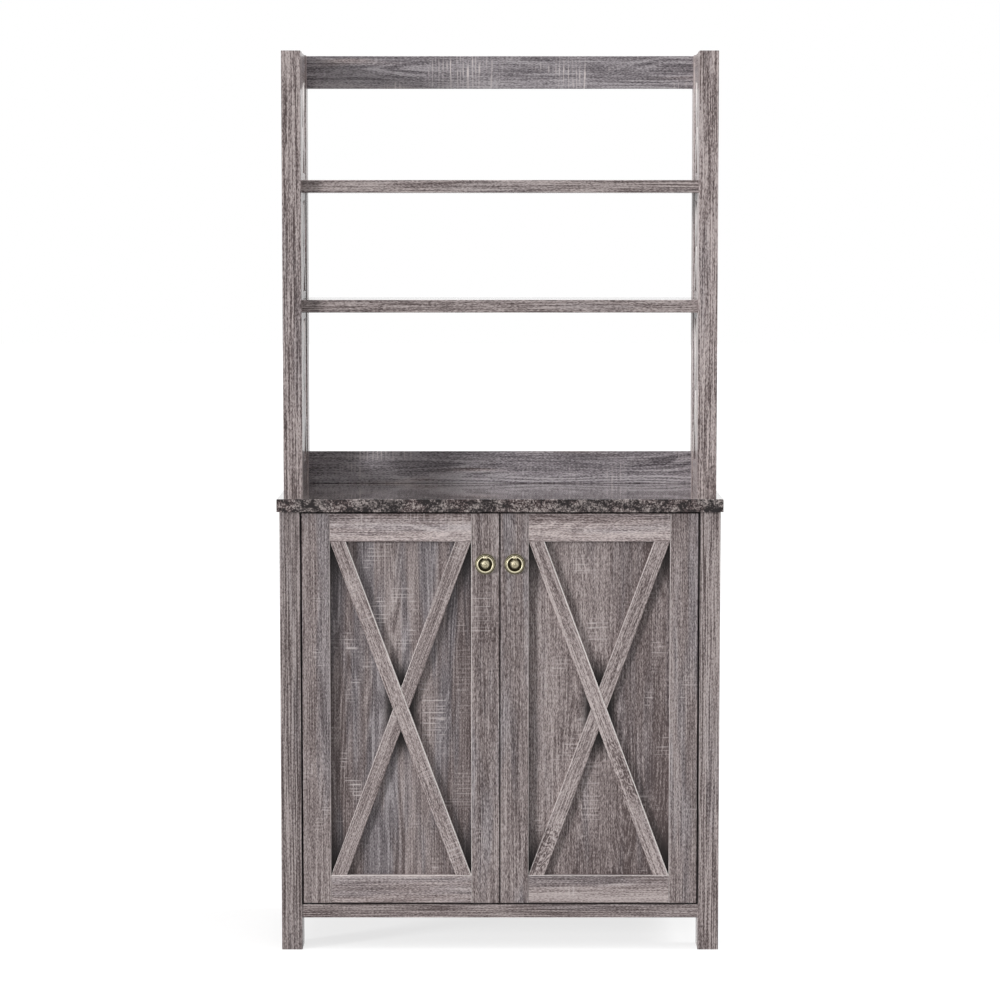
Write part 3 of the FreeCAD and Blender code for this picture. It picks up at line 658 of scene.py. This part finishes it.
    def lay(self, edge=None):
        """Lay the print under its clear top layer and give its colour. edge is the distance from the
        corner that carries the painted edge highlight."""
        board, oak = self.board, self.oak
        colour = self.colour(edge)
        pressed = self.fibre * 0.6 + self.stripe * 0.4 - self.pores * 0.7
        self.finish.feed({
            "Base Color": colour,
            "Roughness": oak.roughness + 0.12 * self.fibre,
            "Specular IOR Level": 0.25,
            "Coat Weight": min(1.0, oak.gloss * board.shine),
            "Coat Roughness": oak.gloss_roughness / max(1.0, board.shine ** 2),
            "Coat IOR": 1.28,
            "Normal": self.finish.bump(pressed, oak.relief, 0.35),
        })
        return colour


class Brace:
    """A set of cross braces seen square on: where its arms cross and how they lean."""

    def __init__(self, node, across):
        low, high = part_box(node)
        width, height = high[across] - low[across], high.z - low.z
        self.across = across
        self.middle = (low[across] + width / 2) * MILLIMETRES, (low.z + height / 2) * MILLIMETRES
        self.lean = math.acos(BRACE_WIDTH / math.hypot(width, height)) - math.atan2(height, width)

    def off_line(self, finish, lean):
        """The distance in millimetres above the middle line of the arm that leans so."""
        place = finish.split(finish.object_point())
        along = (place[self.across] - self.middle[0]) * math.cos(lean)
        above = along + (place[2] - self.middle[1]) * math.sin(lean)
        return above if lean > 0 else 0.0 - above


class RACK_OT_dress_boards(bpy.types.Operator):
    """Give every oak board its own length of grey oak laminate, the grain along the board"""

    bl_idname = "rack.dress_boards"
    bl_label = "Dress the oak boards"

    def execute(self, context):
        oak = context.scene.rack_oak
        for count, board in enumerate(straight_boards()):
            finish = new_finish(f"oak_{board.node}")
            sheet = OakPrint(finish, board, oak, CUT_STEP * count, finish.object_point(board.turn))
            colour = sheet.lay(sheet.off_corner(sheet.off_edge(board.worn)))
            # Painted shade in a door panel's tight corners: the black is mixed in there, and the clear coat
            # is taken away.
            if board.node.endswith("door_panel"):
                painted_corner_shade = self.painted_corner_shade_mask(sheet) * oak.painted_corner_shade
                finish.feed({"Base Color": finish.mix(painted_corner_shade, colour, oak.soot),
                             "Coat Weight": (1 - painted_corner_shade) * oak.gloss})
            dress(board.node, finish)
        return {"FINISHED"}

    @staticmethod
    def painted_corner_shade_mask(sheet):
        """Painted shade: 1 deep in the tight corners that the braces make on a panel's front, where shade
        falls.
        """
        finish, reach = sheet.finish, sheet.oak.painted_corner_shade_reach * MILLIMETRES
        braces = Brace(sheet.board.node.replace("panel", "long_brace"), 0)
        off_long = abs(braces.off_line(finish, braces.lean)) - HALF_BRACE
        off_short = abs(braces.off_line(finish, -braces.lean)) - HALF_BRACE
        off_stile = sheet.off_edge(-1).least(sheet.off_edge(1))
        nearest = (off_long + off_short).least(off_long + off_stile).least(off_short + off_stile)
        return (1 - finish.rise(nearest, 0.2 * reach, reach)) * sheet.in_front(0.2, 0.4)


class RACK_OT_dress_braces(bpy.types.Operator):
    """Give the cross braces laminate whose grain follows each arm"""

    bl_idname = "rack.dress_braces"
    bl_label = "Dress the cross braces"

    def execute(self, context):
        oak = context.scene.rack_oak
        shift = BRACE_START
        # pale and 0.25 are how strong the painted highlight is along one edge of each arm.
        for (side, _), pale in zip(SIDES, (1.35, 1.4)):
            through = Brace(f"{side}_door_long_brace", 0)
            for piece, lean, tone, worn in (("long_brace", through.lean, 1.38, pale),
                                            ("short_braces", -through.lean, 1.2, 0.25)):
                shift += BRACE_STEP
                board = Board(f"{side}_door_{piece}", (0, lean, 0), *DOOR_BRACE, tone, worn)
                finish = new_finish(f"oak_{board.node}")
                sheet = OakPrint(finish, board, oak, shift, finish.object_point(board.turn))
                sheet.lay(sheet.off_corner(HALF_BRACE - through.off_line(finish, lean)))
                dress(board.node, finish)
            for place in ("lower", "middle", "upper"):
                shift += BRACE_STEP
                # The side braces carry a painted highlight along their edges.
                board = Board(f"{side}_{place}_cross_braces", ALONG_Z, *SIDE_BRACE, 1.0, 0.9)
                finish = new_finish(f"oak_{board.node}")
                point, edge = self.crossed_grain(finish, board.node)
                OakPrint(finish, board, oak, shift, point).lay(edge)
                dress(board.node, finish)
        return {"FINISHED"}

    @staticmethod
    def crossed_grain(finish, node):
        """The grain of the through arm and of the arms that butt on it, and how near their edges are."""
        cross = Brace(node, 1)
        off_through = cross.off_line(finish, cross.lean)
        off_short = cross.off_line(finish, -cross.lean)
        on_through = abs(off_through).below(HALF_BRACE)
        point = finish.add("ShaderNodeMix", {"data_type": "VECTOR"},
                           {0: on_through, 4: finish.object_point((cross.lean, 0, 0)),
                            5: finish.object_point((-cross.lean, 0, 0))}, 1)
        return point, HALF_BRACE - (on_through * off_through + (1 - on_through) * off_short)


# ---------------------------------------------------------------- countertop, panel back and hardware


# How much the grains and clusters lighten or darken the countertop, and how much lighter its top is
# painted: painted light on the top face.
GRAIN_CONTRAST, CLUSTER_CONTRAST, TOP_PAINTED_LIGHT = 1.9, 1.4, 0.2

BARE_BOARD = {"dark": srgb(92, 70, 52), "light": srgb(150, 123, 96), "fleck": srgb(78, 58, 43)}


class RACK_OT_dress_countertop(bpy.types.Operator):
    """Give the countertop its glossy speckled laminate"""

    bl_idname = "rack.dress_countertop"
    bl_label = "Dress the countertop"

    def execute(self, context):
        granite = context.scene.rack_granite
        finish = new_finish("speckled_laminate")
        point = finish.object_point()
        across, _, up = finish.split(point)
        grain = granite.grain_size * MILLIMETRES
        cluster = granite.cluster_size * MILLIMETRES
        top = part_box("countertop")[1].z * MILLIMETRES
        fine = finish.cloud(point, (grain, grain, grain), 1.0, 2.0, 0.6)
        lumps = finish.cloud(point, (cluster, cluster, 0.7 * cluster), 4.0, 2.0, 0.6, 0.8)
        zone = finish.cloud(point, (3 * cluster, 3 * cluster, 3 * cluster), 8.0, 1.0)
        on_top = finish.rise(up, top - 0.2, top - 0.02)
        level = 0.5 + (fine - 0.5) * GRAIN_CONTRAST + (lumps - 0.5) * CLUSTER_CONTRAST
        # Painted light: the top face is laid lighter than the edges.
        level = level + TOP_PAINTED_LIGHT * on_top
        ground = finish.mix(finish.ease("grey ground", zone), granite.brown, granite.grey)
        off_end = finish.ease("countertop ends", abs(across))
        blotch = finish.ease("blotches", lumps + 0.35 * (fine - 0.5) - 0.06 * off_end)
        dark = finish.mix(finish.ease("dark grains", level) * blotch, granite.black, ground)
        finish.feed({
            "Base Color": finish.mix(finish.ease("pale grains", level) * blotch, dark, granite.beige),
            "Roughness": granite.roughness + 0.05 * fine,
            "IOR": 1.3,
            "Coat Weight": 0.15 + 0.85 * on_top,
            "Coat Roughness": 0.05,
            "Coat IOR": 1.5,
        })
        dress("countertop", finish)
        return {"FINISHED"}


def darker(colour, share):
    return [level * share for level in colour]


def satin_metal(name, colour, roughness):
    """Plated steel with a faint clouding."""
    finish = new_finish(name)
    cloud = finish.cloud(finish.object_point(), (2.5, 2.5, 2.5), 3.0, 3.0, 0.6)
    finish.feed({"Base Color": finish.mix(cloud, darker(colour, 0.82), colour),
                 "Roughness": roughness + 0.15 * cloud, "Metallic": 1.0})
    return finish


def moulded_plastic(name, colour):
    """Black moulded plastic with a fine spark-eroded grain."""
    finish = new_finish(name)
    grain = finish.cloud(finish.object_point(), (0.25, 0.25, 0.25), 2.0, 2.0)
    finish.feed({"Base Color": finish.mix(grain, colour, darker(colour, 1.5)),
                 "Roughness": 0.45 + 0.15 * grain, "Normal": finish.bump(grain, 0.00003, 0.4)})
    return finish


def turned_beech(name, colour):
    """Plain beech with fine flecks along the dowel."""
    finish = new_finish(name)
    grain = finish.cloud(finish.object_point(), (0.8, 0.8, 5), 6.0, 2.0)
    finish.feed({"Base Color": finish.mix(grain, darker(colour, 0.7), colour),
                 "Roughness": 0.5 + 0.2 * grain})
    return finish


class RACK_OT_dress_hardware(bpy.types.Operator):
    """Give the small hardware its zinc, plastic and beech, and the cabinet's back its fibreboard"""

    bl_idname = "rack.dress_hardware"
    bl_label = "Dress the small hardware"

    def execute(self, context):
        brass = context.scene.rack_brass
        zinc = satin_metal("zinc_plate", brass.zinc, 0.25)
        blued = satin_metal("blued_steel", brass.blued, 0.5)
        plastic = moulded_plastic("black_plastic", brass.plastic)
        for node in ("pivot_bushes", "magnetic_catch"):
            dress(node, plastic)
        for node in ("shelf_pins", "shelf_cams", "shelf_bolts", "catch_magnets"):
            dress(node, zinc)
        dress("countertop_dowels", turned_beech("turned_beech", brass.beech))
        for side, _ in SIDES:
            for piece in ("strike_plate", "pull_screw"):
                dress(f"{side}_{piece}", zinc)
            dress(f"{side}_door_pivot_pins", blued)
        self.dress_back(context.scene.rack_oak)
        return {"FINISHED"}

    @staticmethod
    def dress_back(oak):
        """Fibreboard, bare behind, with a printed face towards the inside."""
        finish = new_finish("fibreboard")
        point = finish.object_point()
        board = Board("cabinet_back_panel", ALONG_Z, *BACK_PRINT, 0.95)
        sheet = OakPrint(finish, board, oak, BACK_START, point)
        printed = sheet.lay()
        outside = sheet.back.above((sheet.low.y + sheet.high.y) / 2)
        felt = finish.cloud(point, (1.6, 1.6, 5), 11.0, 3.0, 0.7)
        mottle = finish.cloud(point, (38, 38, 30), 13.0, 4.0, 0.65)
        flecks = finish.ease("flecks", finish.cloud(point, (2.2, 2.2, 9), 15.0, 1.0))
        light = 0.5 + (felt - 0.5) * 1.5 + (mottle - 0.5) * 1.6
        bare = finish.mix(light, BARE_BOARD["dark"], BARE_BOARD["light"])
        bare = finish.mix(flecks * 0.5, bare, BARE_BOARD["fleck"])
        finish.feed({"Base Color": finish.mix(outside, printed, bare)})
        dress(board.node, finish)


# ---------------------------------------------------------------- ring pulls


LOBE_STEPS = 8

# Places along the neck from the rosette to the lobes, and its radius there, as shares.
NECK_FLARE = ((0.0, 1.0), (0.3, 1.45), (0.5, 1.1), (0.75, 1.0), (1.0, 1.0))

# How far the ends of the ring draw in to its straight top, as a share of the wire's radius.
DRAWN_IN = 0.25

# How far outside the dish the bead's outer seat lies, as a number of the bead's radii.
SEAT_PLACE = 2.4

# How black the dish, that seat and the rim are: black patina in the dish and the seat, with painted shade
# in the dish under the ring, and painted shade on the flat rim. And how bright the painted highlights on
# the bead's crest and the lip are.
DISH_BLACK, SEAT_BLACK, RIM_BLACK = 0.95, 0.8, 0.45
CREST_HIGHLIGHT, LIP_HIGHLIGHT = 0.1, 0.35

# A selection by distance reaches this much further than the vertices lie.
REACH = 1.01


def choose(*pieces):
    """Select these pieces and nothing else, the first of them active."""
    bpy.ops.object.select_all(action="DESELECT")
    for piece in pieces:
        piece.select_set(True)
    if pieces:
        bpy.context.view_layer.objects.active = pieces[0]


def joined(*pieces):
    """Join the pieces into the first of them."""
    choose(*pieces)
    bpy.ops.object.join()
    return pieces[0]


def open_piece(name):
    """Name the new primitive, fix its place in its mesh, and open it with every vertex selected."""
    piece = bpy.context.object
    piece.name = name
    bpy.ops.object.transform_apply(location=True, rotation=True, scale=True)
    bpy.ops.object.mode_set(mode="EDIT")
    bpy.ops.mesh.select_mode(type="VERT")
    bpy.ops.mesh.select_all(action="SELECT")
    return piece


def close_piece():
    """Turn every face outwards and leave edit mode."""
    bpy.ops.mesh.select_all(action="SELECT")
    bpy.ops.mesh.normals_make_consistent(inside=False)
    bpy.ops.object.mode_set(mode="OBJECT")


def select_near(places, distance):
    """In edit mode, select the vertices that lie so far from one of the places, and nothing else."""
    bpy.ops.mesh.select_all(action="DESELECT")
    mesh = bmesh.from_edit_mesh(bpy.context.object.data)
    for vert in mesh.verts:
        vert.select_set(any((vert.co - place).length < REACH * distance for place in places))
    mesh.select_flush_mode()
    bmesh.update_edit_mesh(bpy.context.object.data)


def turned_piece(name, outline, centre, axis, steps):
    """A solid of revolution: a point drawn along an outline, then spun about an axis."""
    choose()
    bpy.ops.mesh.primitive_plane_add(size=0.001, location=outline[0])
    piece = open_piece(name)
    bpy.ops.mesh.merge(type="CENTER")
    for here, there in zip(outline, outline[1:]):
        bpy.ops.mesh.extrude_vertices_move(TRANSFORM_OT_translate={"value": there - here})
    bpy.ops.mesh.select_all(action="SELECT")
    bpy.ops.mesh.spin(steps=steps, angle=FULL_TURN, center=centre, axis=axis)
    bpy.ops.mesh.select_all(action="SELECT")
    bpy.ops.mesh.remove_doubles(threshold=1e-6)
    close_piece()
    return piece


def arc_points(centre, radius, start, end, count):
    """Points (along, up) on an arc, angles in degrees from the along direction."""
    angles = [math.radians(start + (end - start) * i / count) for i in range(count + 1)]
    return [(centre[0] + radius * math.cos(a), centre[1] + radius * math.sin(a)) for a in angles]


def cap_points(radius, base, crest, until, count):
    """Points on a round cap over the axis, from its foot in to a radius."""
    rise = crest - base
    ball = (radius ** 2 + rise ** 2) / (2 * rise)
    points = []
    for i in range(count + 1):
        r = radius + (until - radius) * i / count
        points.append((r, crest - ball + math.sqrt(ball ** 2 - r ** 2)))
    return points


class RACK_OT_make_pulls(bpy.types.Operator):
    """Turn the rosettes, bend the rings, and give both their antique brass"""

    bl_idname = "rack.make_pulls"
    bl_label = "Make the ring pulls"

    def execute(self, context):
        pull, brass = context.scene.rack_pull, context.scene.rack_brass
        for side, _ in SIDES:
            rosette = self.make_rosette(side, pull)
            ring = self.make_ring(side, pull)
            finish_piece(rosette, self.rosette_brass(side, pull, brass))
            finish_piece(ring, self.ring_brass(side, brass))
            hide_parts(f"{side}_pull_rosette")
            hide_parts(f"{side}_pull_ring")
            for piece, body in ((rosette, "door"), (ring, "ring")):
                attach(piece, f"{side}_{body}")
        return {"FINISHED"}

    @staticmethod
    def place(side):
        """The middle of the rosette's back, its radius, and the ring's axis."""
        low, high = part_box(f"{side}_pull_rosette")
        radius = (high.x - low.x) / 2
        middle = Vector(((low.x + high.x) / 2, high.y, low.z + radius))
        return middle, radius, Vector(JOINTS[f"{side}_ring_pivot"]["pos_m"])

    def make_rosette(self, side, pull):
        """The turned rosette, with the post and the lobes on it."""
        middle, radius, axis = self.place(side)
        step_in = radius - pull.rim_width
        bead_in = step_in - 2 * pull.bead
        points = [(0, 0), (radius, 0), (radius, pull.rim_height), (step_in, pull.rim_height)]
        points += arc_points((step_in - pull.bead, pull.rim_height), pull.bead, 0, 180, 10)[1:]
        points += [(bead_in, pull.dish_height), (pull.dome_radius, pull.dish_height)]
        points += cap_points(pull.dome_radius, pull.dish_height, pull.dome_height,
                             pull.dimple_radius, 12)[1:]
        foot = points[-1][1] - pull.dimple_depth
        points += [(0.9 * pull.dimple_radius, foot), (pull.button_radius, foot)]
        points += cap_points(pull.button_radius, foot, pull.button_height, 0, 6)[1:]
        outline = [middle + Vector((r, -h, 0)) for r, h in points]
        disc = turned_piece(f"{side}_rosette_turned", outline, middle, (0, 1, 0), pull.steps)
        return joined(disc, self.make_barrel(side, pull, axis), self.make_neck(side, pull, middle, axis))

    @staticmethod
    def make_barrel(side, pull, axis):
        """The two lobes that hold the ring's straight top."""
        bore = pull.pin_radius + pull.bore_gap
        half = pull.barrel_length / 2
        rim, swell = 0.8 * pull.groove_radius, pull.lobe_radius - pull.groove_radius
        points = [(-half, bore), (-half, rim)]
        for middle in (-half / 2, half / 2):
            for step in range(LOBE_STEPS + 1):
                share = step / LOBE_STEPS
                along = middle + 0.9 * (share - 0.5) * half
                points.append((along, pull.groove_radius + swell * math.sin(math.pi * share)))
        points += [(half, rim), (half, bore), (-half, bore)]
        outline = [axis + Vector((along, 0, up)) for along, up in points]
        return turned_piece(f"{side}_barrel", outline, axis, (1, 0, 0), 32)

    @staticmethod
    def make_neck(side, pull, middle, axis):
        """The short flared post between the rosette and the lobes."""
        foot = Vector((axis.x, middle.y, axis.z))
        sunk = 0.5 * pull.dish_height
        length = 0.9 * (foot.y - axis.y - pull.dish_height)
        points = [(0, sunk)]
        points += [(pull.neck_radius * wide, sunk + length * along) for along, wide in NECK_FLARE]
        points.append((0, sunk + length))
        outline = [foot + Vector((r, -h, 0)) for r, h in points]
        return turned_piece(f"{side}_neck", outline, foot, (0, 1, 0), 28)

    @staticmethod
    def make_ring(side, pull):
        """A round bail: a wire circle spun round the ring, its ends drawn in and bridged by the pin."""
        low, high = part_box(f"{side}_pull_ring")
        axis = Vector(JOINTS[f"{side}_ring_pivot"]["pos_m"])
        wire = (high.y - low.y) / 2
        radius = (high.x - low.x) / 2 - wire
        centre = Vector((axis.x, axis.y, low.z + wire + radius))
        half_gap = math.acos((axis.z - centre.z) / radius)
        ends = {sign: centre + radius * Vector((sign * math.sin(half_gap), 0, math.cos(half_gap)))
                for sign in (1, -1)}
        choose()
        bpy.ops.mesh.primitive_circle_add(vertices=24, radius=wire, location=ends[1],
                                          rotation=(0, math.pi / 2 + half_gap, 0))
        piece = open_piece(f"{side}_ring_bail")
        bpy.ops.mesh.spin(steps=96, angle=FULL_TURN - 2 * half_gap, center=centre, axis=(0, -1, 0))
        pin_ends = []
        for sign, end in ends.items():
            inwards = Vector((-sign * wire * DRAWN_IN, 0, 0))
            share = pull.pin_radius / wire
            select_near([end], wire)
            bpy.ops.mesh.extrude_region_move(TRANSFORM_OT_translate={"value": inwards})
            bpy.ops.transform.resize(value=(share, share, share), center_override=end + inwards)
            pin_ends.append(end + inwards)
        select_near(pin_ends, pull.pin_radius)
        bpy.ops.mesh.bridge_edge_loops()
        close_piece()
        return piece

    def rosette_brass(self, side, pull, brass):
        """Polished dome, painted highlights on the lip and the bead's crest, black patina in the dish and
        beside the bead with painted shade in the dish, and the rim painted darker.
        """
        finish, (x, y, z), wear = self.brass_ground(side, "rosette")
        rim, bead = self.place(side)[1] * MILLIMETRES, pull.bead * MILLIMETRES
        dish = rim - pull.rim_width * MILLIMETRES - 2 * bead
        out = (x * x + z * z).root()
        high = finish.ease("off door", 0.0 - y)
        inside = 1 - finish.rise(out, dish - 0.2, dish + 0.2)
        seat = 1 - finish.ease("off seat", abs(out - (dish + SEAT_PLACE * bead)))
        outside = finish.rise(out, dish, dish + 0.6)
        crest = 1 - finish.ease("off crest", abs(out - (dish + bead)))
        lip = finish.rise(out, rim - 0.5, rim - 0.1)
        polish_and_highlight = high * (0.25 + 0.5 * finish.ease("dome polish", wear))
        colour = finish.mix(polish_and_highlight, brass.patina, brass.worn)
        # Black in the dish is patina and painted shade under the ring, beside the bead it is patina, and on
        # the rim it is painted shade.
        for black in (inside * (1 - high) * DISH_BLACK, seat * SEAT_BLACK, outside * RIM_BLACK):
            colour = finish.mix(black, colour, brass.black_patina_and_shade)
        # Painted highlights on the bead's crest and on the lip.
        colour = finish.mix(crest * CREST_HIGHLIGHT + lip * LIP_HIGHLIGHT, colour, brass.worn)
        return self.cast_brass(finish, colour, brass.roughness + 0.1, wear)

    def ring_brass(self, side, brass):
        """A painted highlight along the crest of the wire, with patina down its sides."""
        finish, (x, _, z), wear = self.brass_ground(side, "ring")
        low, high = (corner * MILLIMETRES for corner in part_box(f"{side}_pull_ring"))
        wire, radius = (high.y - low.y) / 2, (high.x - low.x) / 2
        above = z - (low.z + radius - self.place(side)[0].z * MILLIMETRES)
        off_crest = abs((x * x + above * above).root() - (radius - wire))
        # Painted highlight along the wire's crest.
        crest = 1 - finish.rise(off_crest, 0.1 * wire, 0.7 * wire)
        polish_and_highlight = crest * (0.75 + 0.25 * finish.ease("ring polish", wear))
        colour = finish.mix(polish_and_highlight, brass.patina, brass.worn)
        return self.cast_brass(finish, colour, brass.roughness, wear)

    def brass_ground(self, side, piece):
        """A new finish, the point from the rosette's back in millimetres, and the cloud of its wear."""
        finish = new_finish(f"brass_{side}_{piece}")
        point = finish.object_point(shift=[-value * MILLIMETRES for value in self.place(side)[0]])
        return finish, finish.split(point), finish.cloud(point, (3.5, 3.5, 3.5), 5.0, 4.0, 0.65)

    @staticmethod
    def cast_brass(finish, colour, roughness, wear):
        finish.feed({"Base Color": colour, "Roughness": roughness - 0.1 * wear, "Metallic": 1.0,
                     "Normal": finish.bump(wear, 0.0001, 0.3)})
        return finish


def finish_piece(piece, finish):
    """Smooth shading that keeps crisp corners, and one finish."""
    choose(piece)
    bpy.ops.object.shade_smooth_by_angle(angle=math.radians(40))
    piece.data.materials.clear()
    piece.data.materials.append(finish.material)


class RACK_OT_make_nails(bpy.types.Operator):
    """Turn one nail head and set a row of them round the cabinet's back panel"""

    bl_idname = "rack.make_nails"
    bl_label = "Nail the back panel on"

    def execute(self, context):
        nail = context.scene.rack_nail
        low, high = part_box("cabinet_back_panel")
        corner = Vector((low.x + nail.inset, high.y, low.z + nail.inset))
        wide, tall = (high.x - low.x) - 2 * nail.inset, (high.z - low.z) - 2 * nail.inset
        points = [(0, 0), (nail.radius, 0)]
        points += cap_points(nail.radius, 0.3 * nail.height, nail.height, 0, 3)
        outline = [corner + Vector((r, h, 0)) for r, h in points]
        first = turned_piece("back_nails", outline, corner, (0, 1, 0), nail.steps)
        heads = joined(first, *[self.copy(first, step) for step in self.steps_round(wide, tall, nail)])
        finish_piece(heads, satin_metal("nail_steel", context.scene.rack_brass.zinc, 0.3))
        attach(heads, "rack")
        return {"FINISHED"}

    @staticmethod
    def steps_round(wide, tall, nail):
        """How far each further head lies from the first, in the lower left corner."""
        across, up = nail.across, nail.up
        for i in range(across):
            for j in range(up):
                if (i or j) and (i in (0, across - 1) or j in (0, up - 1)):
                    yield Vector((wide * i / (across - 1), 0, tall * j / (up - 1)))

    @staticmethod
    def copy(first, step):
        choose(first)
        bpy.ops.object.duplicate(linked=False)
        bpy.ops.transform.translate(value=step)
        bpy.ops.object.transform_apply(location=True, rotation=True, scale=True)
        return bpy.context.object


# ---------------------------------------------------------------- studio


def seen_directly(finish):
    """1 for rays from the camera, a mirror or glass, and 0 for those that only light things."""
    rays = finish.tree.nodes.new("ShaderNodeLightPath").outputs
    return sum(Term(finish, rays[f"Is {kind} Ray"]) for kind in ("Camera", "Glossy", "Transmission"))


class RACK_OT_set_studio(bpy.types.Operator):
    """Set up the floor, the surrounding white, the key light and the camera"""

    bl_idname = "rack.set_studio"
    bl_label = "Set up the studio"

    def execute(self, context):
        studio = context.scene.rack_studio
        self.make_floor(studio)
        self.make_surround(context.scene, studio)
        self.make_light("key_light", studio.key_strength, studio.key_towards, studio.key_softness)
        self.make_light("top_light", studio.top_strength, studio.top_towards, studio.top_softness)
        self.make_light("rim_light", studio.rim_strength, studio.rim_towards, studio.rim_softness)
        self.make_camera(context.scene, studio)
        context.scene.view_settings.view_transform = "Standard"
        return {"FINISHED"}

    @staticmethod
    def make_floor(studio):
        choose()
        bpy.ops.mesh.primitive_plane_add(size=studio.floor_size)
        floor = bpy.context.object
        floor.name = "studio_floor"
        finish = new_finish("pale_floor")
        lift = finish.mix(seen_directly(finish), (0, 0, 0), [studio.lift] * 3)
        finish.feed({"Base Color": studio.floor, "Roughness": 0.9, "Specular IOR Level": 0.0,
                     "Emission Color": lift, "Emission Strength": 1.0})
        floor.data.materials.append(finish.material)

    @staticmethod
    def make_surround(scene, studio):
        """White to the eye and in reflections, and a softer fill on everything else."""
        scene.world = bpy.data.worlds.new("white_surround")
        scene.world.use_nodes = True
        finish = Finish(scene.world.node_tree)
        ground = scene.world.node_tree.nodes["Background"].inputs
        ground["Color"].default_value = (1, 1, 1, 1)
        finish.plug(ground["Strength"], studio.fill + (1 - studio.fill) * seen_directly(finish))

    @staticmethod
    def make_light(name, strength, towards, softness):
        """A broad distant light."""
        lamp = bpy.data.lights.new(name, "SUN")
        lamp.energy = strength
        lamp.angle = softness
        light = bpy.data.objects.new(name, lamp)
        bpy.context.scene.collection.objects.link(light)
        light.rotation_euler = Vector(towards).to_track_quat("-Z", "Y").to_euler()

    @staticmethod
    def make_camera(scene, studio):
        camera = bpy.data.cameras.new("camera")
        camera.lens = studio.lens
        camera.sensor_width = 36.0
        eye = bpy.data.objects.new("camera", camera)
        scene.collection.objects.link(eye)
        leg_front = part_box("left_front_leg")[0].y
        eye.location = (0, leg_front - studio.camera_distance, studio.camera_height)
        eye.rotation_euler = (math.pi / 2 - studio.camera_tilt, 0, 0)
        scene.camera = eye


class RACK_PT_finisher(bpy.types.Panel):
    """The rack's finishing steps, in order"""

    bl_label = "Bakers Rack"
    bl_idname = "RACK_PT_finisher"
    bl_space_type = "VIEW_3D"
    bl_region_type = "UI"
    bl_category = "Rack"

    def draw(self, context):
        for operator in STEPS:
            self.layout.operator(operator.bl_idname)


SETTINGS = {"rack_oak": OakSettings, "rack_granite": GraniteSettings, "rack_brass": BrassSettings,
            "rack_pull": PullSettings, "rack_nail": NailSettings, "rack_studio": StudioSettings}
STEPS = (RACK_OT_set_studio, RACK_OT_dress_boards, RACK_OT_dress_braces, RACK_OT_dress_countertop,
         RACK_OT_dress_hardware, RACK_OT_make_pulls, RACK_OT_make_nails)


def register():
    for name, group in SETTINGS.items():
        bpy.utils.register_class(group)
        setattr(bpy.types.Scene, name, PointerProperty(type=group))
    for kind in (*STEPS, RACK_PT_finisher):
        bpy.utils.register_class(kind)


def unregister():
    for kind in (RACK_PT_finisher, *reversed(STEPS)):
        bpy.utils.unregister_class(kind)
    for name, group in SETTINGS.items():
        delattr(bpy.types.Scene, name)
        bpy.utils.unregister_class(group)


def main():
    register()
    bpy.ops.rack.set_studio()
    bpy.ops.rack.dress_boards()
    bpy.ops.rack.dress_braces()
    bpy.ops.rack.dress_countertop()
    bpy.ops.rack.dress_hardware()
    bpy.ops.rack.make_pulls()
    bpy.ops.rack.make_nails()


if __name__ == "__main__":
    main()
